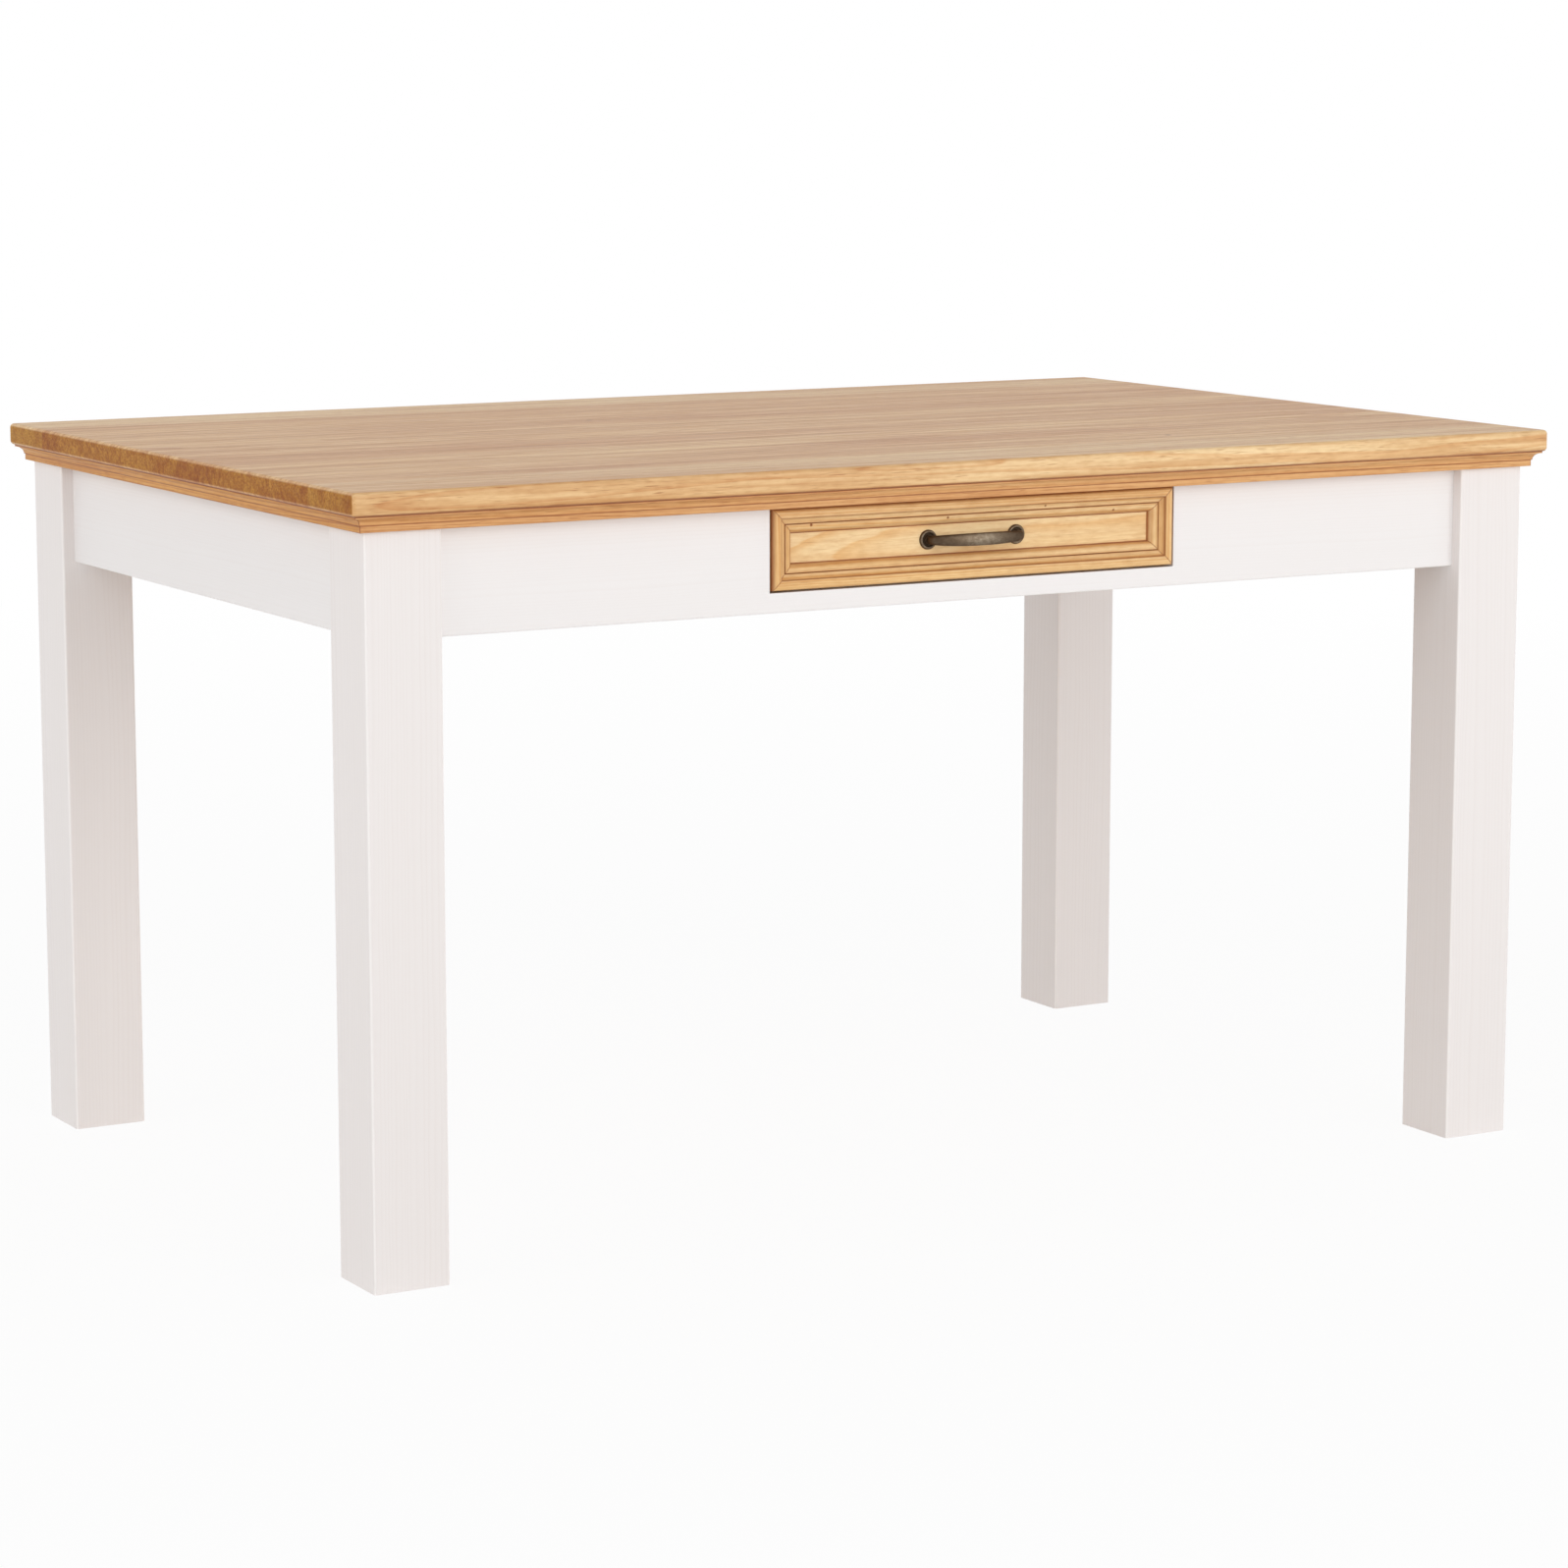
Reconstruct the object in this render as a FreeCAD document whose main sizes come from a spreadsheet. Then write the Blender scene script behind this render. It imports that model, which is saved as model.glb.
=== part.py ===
import FreeCAD, Part
import math
import os
import types

import Sketcher

# A country dining table in solid pine with one drawer in its front apron.
# Millimetres, +Z up, +X along the table, the drawer opens towards -Y.
# The origin is on the floor under the middle of the table.

# Driving dimensions
SIZES = {
    # whole table
    "table_length": 1400,
    "table_width": 900,
    "table_height": 770,
    # glued board top
    "slab_thickness": 23,
    "slab_round": 4.5,
    # coved frame under the top's edge
    "moulding_inset": 4.5,
    "moulding_width": 86,
    "moulding_height": 16,
    "moulding_lip": 2,
    "cove_radius": 7.5,
    "cove_step": 1,
    # legs and aprons
    "leg_width": 80,
    "leg_inset": 20,
    "leg_round": 3,
    "leg_flat": 14,
    "apron_height": 105,
    "apron_thickness": 22,
    "apron_setback": 14,
    "apron_round": 2,
    # corner blocks and the bolts that draw the legs in
    "corner_block_thickness": 28,
    "corner_block_height": 76,
    "corner_block_drop": 12,
    "bolt_diameter": 8,
    "bolt_depth": 45,
    "bolt_spacing": 40,
    "bolt_overhang": 3,
    "washer_diameter": 22,
    "washer_thickness": 1.6,
    "nut_radius": 7.5,
    "nut_height": 6.5,
    # dowels between aprons and legs
    "apron_dowel_diameter": 10,
    "apron_dowel_length": 60,
    "apron_dowel_margin": 26,
    # battens under the top
    "batten_width": 60,
    "batten_thickness": 16,
    "batten_margin": 150,
    "kicker_width": 40,
    # screws and steel angles
    "screw_diameter": 4,
    "screw_head_diameter": 8,
    "screw_head_height": 2.4,
    "screw_bite": 12,
    "bracket_length": 30,
    "bracket_width": 20,
    "bracket_thickness": 2.5,
    "long_bracket_margin": 180,
    "end_bracket_margin": 200,
    # drawer opening in the front apron
    "opening_width": 478,
    "rail_height": 20,
    # runners, guides and stops that carry the drawer
    "runner_height": 22,
    "runner_lip": 10,
    "runner_dowel_diameter": 8,
    "runner_dowel_length": 30,
    "runner_dowel_height": 9,
    "guide_width": 16,
    "guide_height": 25,
    "guide_screw_margin": 94,
    "stop_length": 30,
    "stop_height": 20,
    "catch_width": 40,
    "catch_thickness": 14,
    "catch_height": 25,
    "catch_gap": 5,
    # drawer box
    "drawer_travel": 300,
    "drawer_gap": 2,
    "drawer_side_gap": 8,
    "drawer_lift": 4,
    "drawer_side_thickness": 14,
    "drawer_side_height": 70,
    "drawer_tail": 60,
    "drawer_back_thickness": 12,
    "drawer_back_drop": 4,
    "drawer_bottom_thickness": 4,
    "drawer_bottom_lift": 8,
    "groove_depth": 6,
    "drawer_dowel_diameter": 6,
    "drawer_dowel_length": 30,
    "drawer_dowel_depth": 9,
    "drawer_dowel_spacing": 30,
    "drawer_screw_spacing": 20,
    "bottom_screw_spacing": 120,
    # drawer front: a panel with a mitred moulded frame on it
    "drawer_proud": 3,
    "panel_thickness": 12,
    "frame_depth": 12,
    "frame_round": 4,
    "frame_strip": 9.8,
    "frame_quirk": 0.7,
    "frame_cove": 5.6,
    "frame_cove_drop": 3.8,
    "frame_ovolo": 8.4,
    "frame_lip": 1,
    # bow handle
    "handle_spacing": 104,
    "handle_reach": 15,
    "handle_post": 3.5,
    "handle_foot_width": 8.4,
    "handle_strap_width": 13,
    "handle_strap_thickness": 5.2,
    "handle_screw_diameter": 4,
    "handle_screw_bite": 5,
    "rosette_diameter": 20,
    "rosette_thickness": 4,
    "rosette_rim": 2.4,
    "rosette_step": 1.4,
    # fits
    "hole_clearance": 0.1,
    "hole_end": 1,
    "groove_clearance": 0.2,
    "runner_clearance": 0.3,
    "guide_clearance": 1,
    "kicker_clearance": 1,
    "stop_clearance": 0.5,
}

# Counts
BOARD_COUNT = 9
BATTEN_SCREW_COUNT = 3
HANDLE_SECTIONS = 4

UP = FreeCAD.Vector(0, 0, 1)
DIAGONAL = math.sqrt(0.5)
TOLERANCE = 1e-6

# The sides and corners of the table, in quarter turns about +Z from the front and the front left
SIDES = ("front", "right", "back", "left")
CORNERS = {
    "front_left": (-1, -1),
    "front_right": (1, -1),
    "back_right": (1, 1),
    "back_left": (-1, 1),
}
HANDS = {"left": -1, "right": 1}


class Size:
    """A length with its value and the sheet formula that it comes from."""

    def __init__(self, value, formula):
        self.value = value
        self.formula = formula

    def __add__(self, other):
        other = as_size(other)
        return Size(self.value + other.value, f"({self.formula} + {other.formula})")

    __radd__ = __add__

    def __mul__(self, factor):
        return Size(self.value * factor, f"({self.formula} * ({factor!r}))")

    __rmul__ = __mul__

    def __truediv__(self, divisor):
        return self * (1 / divisor)

    def __neg__(self):
        return self * -1

    def __sub__(self, other):
        return self + -as_size(other)

    def __rsub__(self, other):
        return as_size(other) - self


def as_size(length):
    return length if isinstance(length, Size) else Size(length, f"({length!r})")


def make_sheet():
    """Writes the driving dimensions to the sheet, each under its own name."""
    sheet = doc.addObject("Spreadsheet::Sheet", "Sizes")
    for row, (name, number) in enumerate(SIZES.items(), 1):
        sheet.set(f"A{row}", name)
        sheet.set(f"B{row}", str(number))
        sheet.setAlias(f"B{row}", name)
    doc.recompute()
    return types.SimpleNamespace(
        **{name: Size(float(sheet.get(name)), f"Sizes.{name}") for name in SIZES}
    )


# Tools of the workshop: each makes or changes one object of the document


def bind(thing, **lengths):
    for name, length in lengths.items():
        thing.setExpression(name, as_size(length).formula)


def place(thing, corner, rotation=FreeCAD.Rotation()):
    thing.Placement = FreeCAD.Placement(FreeCAD.Vector(), rotation)
    for axis, length in zip("xyz", corner):
        thing.setExpression(f"Placement.Base.{axis}", as_size(length).formula)


def about_z(degrees):
    return FreeCAD.Rotation(UP, degrees)


def quarter_turned(along, inward, quarter):
    """The plan position (along, inward) turned about the middle of the table."""
    cosine, sine = ((1, 0), (0, 1), (-1, 0), (0, -1))[quarter]
    return along * cosine - inward * sine, along * sine + inward * cosine


def keep(label, thing):
    """Marks an object as a finished sub-part of the table."""
    thing.Label = label
    sub_parts[label] = thing
    return thing


def group(label, things):
    compound = doc.addObject("Part::Compound", label)
    compound.Links = things
    return keep(label, compound)


def block(name, length, width, height, corner):
    """A sawn block with its lowest corner at corner."""
    body = doc.addObject("PartDesign::Body", name)
    box = body.newObject("PartDesign::AdditiveBox", name + "_board")
    bind(box, Length=length, Width=width, Height=height)
    place(body, corner)
    return body


def cut_box(body, name, length, width, height, corner, rotation=FreeCAD.Rotation()):
    """Cuts a box out of a body, in the body's own axes."""
    doc.recompute()
    before = body.Shape.Volume
    box = body.newObject("PartDesign::SubtractiveBox", f"{body.Name}_{name}")
    bind(box, Length=length, Width=width, Height=height)
    place(box, corner, rotation)
    body.Tip = box
    doc.recompute()
    assert body.Shape.Volume < before, f"{box.Name} cuts nothing"


def lies_at(edge, planes):
    """True where both ends of an edge have the given coordinates."""
    return all(
        abs(getattr(vertex.Point, axis) - as_size(length).value) < TOLERANCE
        for axis, length in planes.items()
        for vertex in edge.Vertexes
    )


def ease(body, radius, lines):
    """Rounds the body's edges that lie on the given lines, in the body's own axes."""
    doc.recompute()
    base = body.Tip
    edges = [
        f"Edge{number}"
        for number, edge in enumerate(base.Shape.Edges, 1)
        if any(lies_at(edge, line) for line in lines)
    ]
    fillet = body.newObject("PartDesign::Fillet", body.Name + "_round")
    fillet.Base = (base, edges)
    bind(fillet, Radius=radius)
    body.Tip = fillet


def arc_between(start, end, radius):
    """The arc from start to end: counter-clockwise for a positive radius."""
    chord = end - start
    left = FreeCAD.Vector(-chord.y, chord.x, 0).normalize()
    height = math.sqrt(radius * radius - chord.Length * chord.Length / 4)
    centre = (start + end) / 2 + left * math.copysign(height, radius)
    ends = (start, end) if radius > 0 else (end, start)
    angles = [math.atan2(point.y - centre.y, point.x - centre.x) for point in ends]
    return Part.ArcOfCircle(Part.Circle(centre, UP, abs(radius)), *angles)


def pin_point(sketch, geometry, end, position):
    """Holds one point of a sketch at its distances from the sketch's origin."""
    for kind, axis, length in zip(("DistanceX", "DistanceY"), (-2, -1), position):
        length = as_size(length)
        if length.value == 0:
            sketch.addConstraint(Sketcher.Constraint("PointOnObject", geometry, end, axis))
        else:
            rule = Sketcher.Constraint(kind, -1, 1, geometry, end, length.value)
            sketch.setExpression(f"Constraints[{sketch.addConstraint(rule)}]", length.formula)


def outline(body, name, role, corners):
    """A closed sketch through corners. A third entry is the radius of the arc to the next corner."""
    sketch = body.newObject("Sketcher::SketchObject", f"{body.Name}_{name}")
    plane = next(item for item in body.Origin.OriginFeatures if item.Role == role)
    sketch.AttachmentSupport = [(plane, "")]
    sketch.MapMode = "FlatFace"
    points = [FreeCAD.Vector(*(as_size(length).value for length in corner[:2]), 0) for corner in corners]
    starts = []
    for number, corner in enumerate(corners):
        start, end = points[number], points[(number + 1) % len(points)]
        if len(corner) == 2:
            sketch.addGeometry(Part.LineSegment(start, end))
            starts.append(1)
        else:
            radius = as_size(corner[2])
            sketch.addGeometry(arc_between(start, end, radius.value))
            starts.append(1 if radius.value > 0 else 2)
            rule = Sketcher.Constraint("Radius", number, abs(radius.value))
            index = sketch.addConstraint(rule)
            size_of_arc = radius if radius.value > 0 else -radius
            sketch.setExpression(f"Constraints[{index}]", size_of_arc.formula)
    for number, corner in enumerate(corners):
        following = (number + 1) % len(corners)
        sketch.addConstraint(
            Sketcher.Constraint("Coincident", number, 3 - starts[number], following, starts[following])
        )
        pin_point(sketch, number, starts[number], corner[:2])
    return sketch


def mitred_strip(name, length, width, height, waste):
    """A strip along X with mitred ends and its profile cut out of the blank, outer face at y = 0."""
    body = doc.addObject("PartDesign::Body", name)
    blank = body.newObject("PartDesign::AdditiveWedge", name + "_strip")
    bind(blank, Xmin=-length / 2, Xmax=length / 2, Ymin=0, Ymax=width, Zmin=0, Zmax=height)
    bind(blank, X2min=width - length / 2, X2max=length / 2 - width, Z2min=0, Z2max=height)
    doc.recompute()
    before = body.Shape.Volume
    pocket = body.newObject("PartDesign::Pocket", name + "_profile")
    pocket.Profile = outline(body, "waste", "YZ_Plane", waste)
    pocket.SideType = "Two sides"
    pocket.Type = "ThroughAll"
    pocket.Type2 = "ThroughAll"
    body.Tip = pocket
    doc.recompute()
    assert body.Shape.Volume < before, f"{pocket.Name} cuts nothing"
    return body


def moved(start, direction, distance):
    """The point at a distance from start along direction."""
    return [as_size(length) + distance * part for length, part in zip(start, direction)]


def pin(name, diameter, length, start, direction):
    """A round pin that begins at start."""
    cylinder = doc.addObject("Part::Cylinder", name)
    bind(cylinder, Radius=diameter / 2, Height=length)
    place(cylinder, start, FreeCAD.Rotation(UP, FreeCAD.Vector(*direction)))
    return cylinder


def hole(name, diameter, length, start, direction):
    """The bore for a pin, a little wider and longer than the pin."""
    begin = moved(start, direction, -size.hole_end)
    return pin(name, diameter + 2 * size.hole_clearance, length + 2 * size.hole_end, begin, direction)


def joined(name, first, second):
    fuse = doc.addObject("Part::Fuse", name)
    fuse.Base = first
    fuse.Tool = second
    return fuse


def drilled(name, blank, holes):
    """The blank less its holes."""
    tools = doc.addObject("Part::Compound", name + "_bores")
    tools.Links = holes
    cut = doc.addObject("Part::Cut", name)
    cut.Base = blank
    cut.Tool = tools
    return cut


def screw(name, start, direction, length, diameter=None):
    """A round-headed screw whose head sits on the surface at start, and the bore for it."""
    diameter = diameter or size.screw_diameter
    shank = pin(name + "_shank", diameter, length, start, direction)
    crown = moved(start, direction, -size.screw_head_height)
    head = pin(name + "_head", size.screw_head_diameter, size.screw_head_height, crown, direction)
    return joined(name, head, shank), hole(name + "_bore", diameter, length, start, direction)


doc = FreeCAD.newDocument("CountryTable")
size = make_sheet()
sub_parts = {}

# Levels and faces that the pieces share
half_length = size.table_length / 2
half_width = size.table_width / 2
slab_bottom = size.table_height - size.slab_thickness
frame_top = slab_bottom - size.moulding_height
apron_bottom = frame_top - size.apron_height
leg_x = half_length - size.leg_inset
leg_y = half_width - size.leg_inset
joint_x = leg_x - size.leg_width
joint_y = leg_y - size.leg_width
apron_face_x = leg_x - size.apron_setback
apron_face_y = leg_y - size.apron_setback
apron_back_x = apron_face_x - size.apron_thickness
apron_back_y = apron_face_y - size.apron_thickness
moulding_inner_y = half_width - size.moulding_inset - size.moulding_width

opening_bottom = apron_bottom + size.rail_height
drawer_half = size.opening_width / 2 - size.drawer_side_gap
drawer_inner = drawer_half - size.drawer_side_thickness
side_middle = drawer_half - size.drawer_side_thickness / 2
side_bottom = opening_bottom + size.drawer_lift
side_top = side_bottom + size.drawer_side_height
runner_top = side_bottom - size.runner_clearance
bottom_low = side_bottom + size.drawer_bottom_lift
bottom_high = bottom_low + size.drawer_bottom_thickness

front_low = opening_bottom + size.drawer_gap
front_width = size.opening_width - 2 * size.drawer_gap
front_height = frame_top - size.drawer_gap - front_low
front_middle = front_low + front_height / 2
panel_face = size.frame_depth - apron_face_y - size.drawer_proud
panel_back = panel_face + size.panel_thickness

catch_front = size.catch_gap - apron_back_y
catch_back = catch_front + size.catch_thickness
back_front = catch_back + size.drawer_travel + size.stop_clearance
back_rear = back_front + size.drawer_back_thickness
tail_end = back_rear + size.drawer_tail

# Bores that each piece takes, gathered as the fasteners are made
bores = {}


def bore(piece, tool):
    bores.setdefault(piece, []).append(tool)


def fasten(pieces, made):
    """Notes the bore of a fastener for the pieces that it holds, and gives back the fastener."""
    fastener, tool = made
    for piece in pieces:
        bore(piece, tool)
    return fastener


def peg(name, diameter, length, start, direction):
    """A dowel and its bore."""
    dowel = pin(name, diameter, length, start, direction)
    return dowel, hole(name + "_bore", diameter, length, start, direction)


def finish(label, blank):
    """Keeps a piece, with the bores noted for it."""
    if label in bores:
        blank = drilled(label + "_drilled", blank, bores[label])
    return keep(label, blank)


# Dowels between the aprons and the legs: two at each of the eight joints


def make_apron_dowels():
    dowels = []
    levels = (
        apron_bottom + size.apron_dowel_margin,
        frame_top - size.apron_dowel_margin,
    )
    apron_middle_x = apron_face_x - size.apron_thickness / 2
    apron_middle_y = apron_face_y - size.apron_thickness / 2
    for corner, (right, back) in CORNERS.items():
        for number, level in enumerate(levels):
            across = (right * joint_x, back * apron_middle_y, level)
            along = (right * apron_middle_x, back * joint_y, level)
            long_apron = "apron_back" if back > 0 else "apron_front"
            end_apron = "apron_right" if right > 0 else "apron_left"
            joints = ((long_apron, across, (1, 0, 0)), (end_apron, along, (0, 1, 0)))
            for apron, joint, direction in joints:
                start = moved(joint, direction, -size.apron_dowel_length / 2)
                made = peg(
                    f"{apron}_{corner}_dowel_{number}",
                    size.apron_dowel_diameter,
                    size.apron_dowel_length,
                    start,
                    direction,
                )
                dowels.append(fasten((apron, "leg_" + corner), made))
    group("apron_dowels", dowels)


# Corner blocks, with two hanger bolts each that pull the leg's flat against the block


def make_corner_blocks():
    reach = (2 * (size.leg_width - size.apron_setback - size.apron_thickness) - size.leg_flat) * DIAGONAL
    far = reach + size.corner_block_thickness
    bolt_length = size.bolt_depth + size.corner_block_thickness + size.washer_thickness
    bolt_length = bolt_length + size.nut_height + size.bolt_overhang
    block_low = frame_top - size.corner_block_drop - size.corner_block_height
    block_middle = block_low + size.corner_block_height / 2
    bolts, washers, nuts = [], [], []
    for quarter, (corner, (right, back)) in enumerate(CORNERS.items()):
        name = "corner_block_" + corner
        direction = (-right * DIAGONAL, -back * DIAGONAL, 0)
        root = (right * apron_back_x, back * apron_back_y, block_low)
        body = doc.addObject("PartDesign::Body", name)
        wedge = body.newObject("PartDesign::AdditiveWedge", name + "_wedge")
        bind(wedge, Xmin=-reach, Xmax=reach, Ymin=reach, Ymax=far, X2min=-far, X2max=far)
        bind(wedge, Zmin=0, Zmax=size.corner_block_height, Z2min=0, Z2max=size.corner_block_height)
        place(body, root, about_z(90 * quarter - 45))
        for number, side in enumerate((-1, 1)):
            level = block_middle + side * size.bolt_spacing / 2
            axis = (root[0], root[1], level)
            tag = f"{corner}_{number}"
            start = moved(axis, direction, reach - size.bolt_depth)
            made = peg("hanger_bolt_" + tag, size.bolt_diameter, bolt_length, start, direction)
            bolts.append(fasten((name, "leg_" + corner), made))
            seat = moved(axis, direction, far)
            washer = pin("washer_" + tag, size.washer_diameter, size.washer_thickness, seat, direction)
            washers.append(drilled("bolt_washer_" + tag, washer, [made[1]]))
            nut = doc.addObject("Part::Prism", "nut_" + tag)
            nut.Polygon = 6
            bind(nut, Circumradius=size.nut_radius, Height=size.nut_height)
            nut_seat = moved(seat, direction, size.washer_thickness)
            place(nut, nut_seat, FreeCAD.Rotation(UP, FreeCAD.Vector(*direction)))
            nuts.append(drilled("bolt_nut_" + tag, nut, [made[1]]))
        finish(name, body)
    group("hanger_bolts", bolts)
    group("bolt_washers", washers)
    group("bolt_nuts", nuts)


# Steel angles that hold the top to the aprons, two on each side


def make_brackets():
    brackets, screws = [], []
    places = (joint_x - size.long_bracket_margin, joint_y - size.end_bracket_margin)
    walls = (apron_back_y, apron_back_x)
    for quarter, side in enumerate(SIDES):
        wall = walls[quarter % 2]
        outward = quarter_turned(0, -1, quarter) + (0,)
        for number, hand in enumerate(HANDS.values()):
            tag = f"{side}_{number}"
            along = hand * places[quarter % 2]

            def point(sideways, inward, level):
                return quarter_turned(along + sideways, inward - wall, quarter) + (level,)

            plate = doc.addObject("Part::Box", "bracket_plate_" + tag)
            bind(plate, Length=size.bracket_width, Width=size.bracket_thickness, Height=size.bracket_length)
            corner = point(-size.bracket_width / 2, 0, frame_top - size.bracket_length)
            place(plate, corner, about_z(90 * quarter))
            shelf = doc.addObject("Part::Box", "bracket_shelf_" + tag)
            bind(shelf, Length=size.bracket_width, Width=size.bracket_length, Height=size.bracket_thickness)
            corner = point(-size.bracket_width / 2, 0, frame_top - size.bracket_thickness)
            place(shelf, corner, about_z(90 * quarter))
            length = size.bracket_thickness + size.screw_bite
            middle = size.bracket_length / 2 + size.bracket_thickness / 2
            level_seat = point(0, size.bracket_thickness, frame_top - middle)
            level_screw = screw("apron_screw_" + tag, level_seat, outward, length)
            upright_seat = point(0, middle, frame_top - size.bracket_thickness)
            upright_screw = screw("top_screw_" + tag, upright_seat, (0, 0, 1), length)
            screws.append(fasten(("apron_" + side,), level_screw))
            screws.append(fasten(("moulding_" + side,), upright_screw))
            angle = joined("bracket_angle_" + tag, plate, shelf)
            brackets.append(drilled("bracket_" + tag, angle, [level_screw[1], upright_screw[1]]))
    group("top_brackets", brackets)
    group("bracket_screws", screws)


# Battens across the boards. The inner two also keep the drawer from tipping


def make_battens():
    screws = []
    board_width = size.table_width / BOARD_COUNT
    boards_per_screw = BOARD_COUNT // BATTEN_SCREW_COUNT
    screwed_boards = range(boards_per_screw // 2, BOARD_COUNT, boards_per_screw)
    batten_x = joint_x - size.batten_margin
    kicker_x = drawer_inner + size.kicker_width / 2
    kicker_low = side_top + size.kicker_clearance
    kinds = (
        ("batten", batten_x, size.batten_width, slab_bottom - size.batten_thickness),
        ("kicker", kicker_x, size.kicker_width, kicker_low),
    )
    for kind, position, width, low in kinds:
        for hand, sign in HANDS.items():
            name = f"{kind}_{hand}"
            middle = sign * position
            corner = (middle - width / 2, -moulding_inner_y, low)
            blank = block(name + "_blank", width, 2 * moulding_inner_y, slab_bottom - low, corner)
            for board in screwed_boards:
                seat = (middle, board_width * board + board_width / 2 - half_width, low)
                made = screw(f"{name}_screw_{board}", seat, (0, 0, 1), slab_bottom - low + size.screw_bite)
                screws.append(fasten((name, f"top_board_{board + 1}"), made))
            finish(name, blank)
    group("batten_screws", screws)


# Runners under the drawer sides, guides beside them, and the stops


def make_runners():
    dowels, screws = [], []
    width = size.runner_lip + size.drawer_side_thickness + size.guide_clearance + size.guide_width
    inner = drawer_inner - size.runner_lip
    guide_inner = drawer_half + size.guide_clearance
    length = 2 * apron_back_y
    runner_low = runner_top - size.runner_height
    screw_spacing = apron_back_y - size.guide_screw_margin
    for hand, sign in HANDS.items():
        mirror = (sign - 1) / 2
        runner = f"runner_{hand}"
        guide = f"guide_{hand}"
        corner = (sign * inner + mirror * width, -apron_back_y, runner_low)
        runner_blank = block(runner + "_blank", width, length, size.runner_height, corner)
        corner = (sign * guide_inner + mirror * size.guide_width, -apron_back_y, runner_top)
        guide_blank = block(guide + "_blank", size.guide_width, length, size.guide_height, corner)
        for apron, back in (("apron_front", -1), ("apron_back", 1)):
            joint = (sign * (inner + width / 2), back * apron_back_y, runner_low + size.runner_dowel_height)
            start = moved(joint, (0, 1, 0), -size.runner_dowel_length / 2)
            made = peg(
                f"{runner}_{apron}_dowel",
                size.runner_dowel_diameter,
                size.runner_dowel_length,
                start,
                (0, 1, 0),
            )
            dowels.append(fasten((runner, apron), made))
        for number in (-1, 0, 1):
            seat = (
                sign * (guide_inner + size.guide_width / 2),
                number * screw_spacing,
                runner_top + size.guide_height,
            )
            made = screw(f"{guide}_screw_{number + 1}", seat, (0, 0, -1), size.guide_height + size.screw_bite)
            screws.append(fasten((guide, runner), made))
        finish(runner, runner_blank)
        finish(guide, guide_blank)
        stop_corner = (
            sign * drawer_inner + mirror * size.drawer_side_thickness,
            tail_end + size.stop_clearance,
            runner_top,
        )
        stop = block(
            f"stop_{hand}", size.drawer_side_thickness, size.stop_length, size.stop_height, stop_corner
        )
        keep(f"stop_{hand}", stop)
    group("runner_dowels", dowels)
    group("guide_screws", screws)


def make_catch():
    """The block behind the front apron that the drawer's back meets when it is pulled out."""
    low = frame_top - size.catch_height
    corner = (-size.catch_width / 2, catch_front, low)
    blank = block("drawer_catch_blank", size.catch_width, size.catch_thickness, size.catch_height, corner)
    seat = (0, catch_front + size.catch_thickness / 2, low)
    made = screw("catch_screw", seat, (0, 0, 1), size.catch_height + size.screw_bite)
    keep("catch_screw", fasten(("drawer_catch", "moulding_front"), made))
    finish("drawer_catch", blank)


# The top: glued boards, and the coved frame under their edge


def make_top():
    width = size.table_width / BOARD_COUNT
    thickness = size.slab_thickness
    for number in range(BOARD_COUNT):
        name = f"top_board_{number + 1}"
        corner = (-half_length, width * number - half_width, slab_bottom)
        body = block(name + "_blank", size.table_length, width, thickness, corner)
        ends = (0, size.table_length)
        lines = [{"x": end, "z": level} for end in ends for level in (0, thickness)]
        free_edges = {0: 0, BOARD_COUNT - 1: width}
        if number in free_edges:
            edge = free_edges[number]
            lines += [{"y": edge, "z": level} for level in (0, thickness)]
            lines += [{"x": end, "y": edge} for end in ends]
        ease(body, size.slab_round, lines)
        finish(name, body)


def make_mouldings():
    cove_low = size.moulding_height - size.moulding_lip - size.cove_radius
    foot = size.cove_radius + size.cove_step
    waste = [
        (0, 0),
        (foot, 0),
        (foot, cove_low),
        (size.cove_radius, cove_low, size.cove_radius),
        (0, size.moulding_height - size.moulding_lip),
    ]
    spans = (size.table_length, size.table_width)
    for quarter, side in enumerate(SIDES):
        length = spans[quarter % 2] - 2 * size.moulding_inset
        edge = spans[1 - quarter % 2] / 2 - size.moulding_inset
        name = "moulding_" + side
        strip = mitred_strip(name + "_blank", length, size.moulding_width, size.moulding_height, waste)
        place(strip, quarter_turned(as_size(0), -edge, quarter) + (frame_top,), about_z(90 * quarter))
        finish(name, strip)


# Legs and aprons


def make_legs():
    wide = size.leg_width
    flat = size.leg_flat
    for quarter, (corner, (right, back)) in enumerate(CORNERS.items()):
        name = "leg_" + corner
        body = block(name + "_blank", wide, wide, frame_top, (0, 0, 0))
        place(body, (right * leg_x, back * leg_y, 0), about_z(90 * quarter))
        ease(body, size.leg_round, [{"x": x, "y": y} for x in (0, wide) for y in (0, wide)])
        edge = wide - flat / 2
        flat_corner = (edge - flat * DIAGONAL, edge + flat * DIAGONAL, apron_bottom)
        cut_box(body, "flat", 2 * flat, flat, size.apron_height, flat_corner, about_z(-45))
        finish(name, body)


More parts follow.
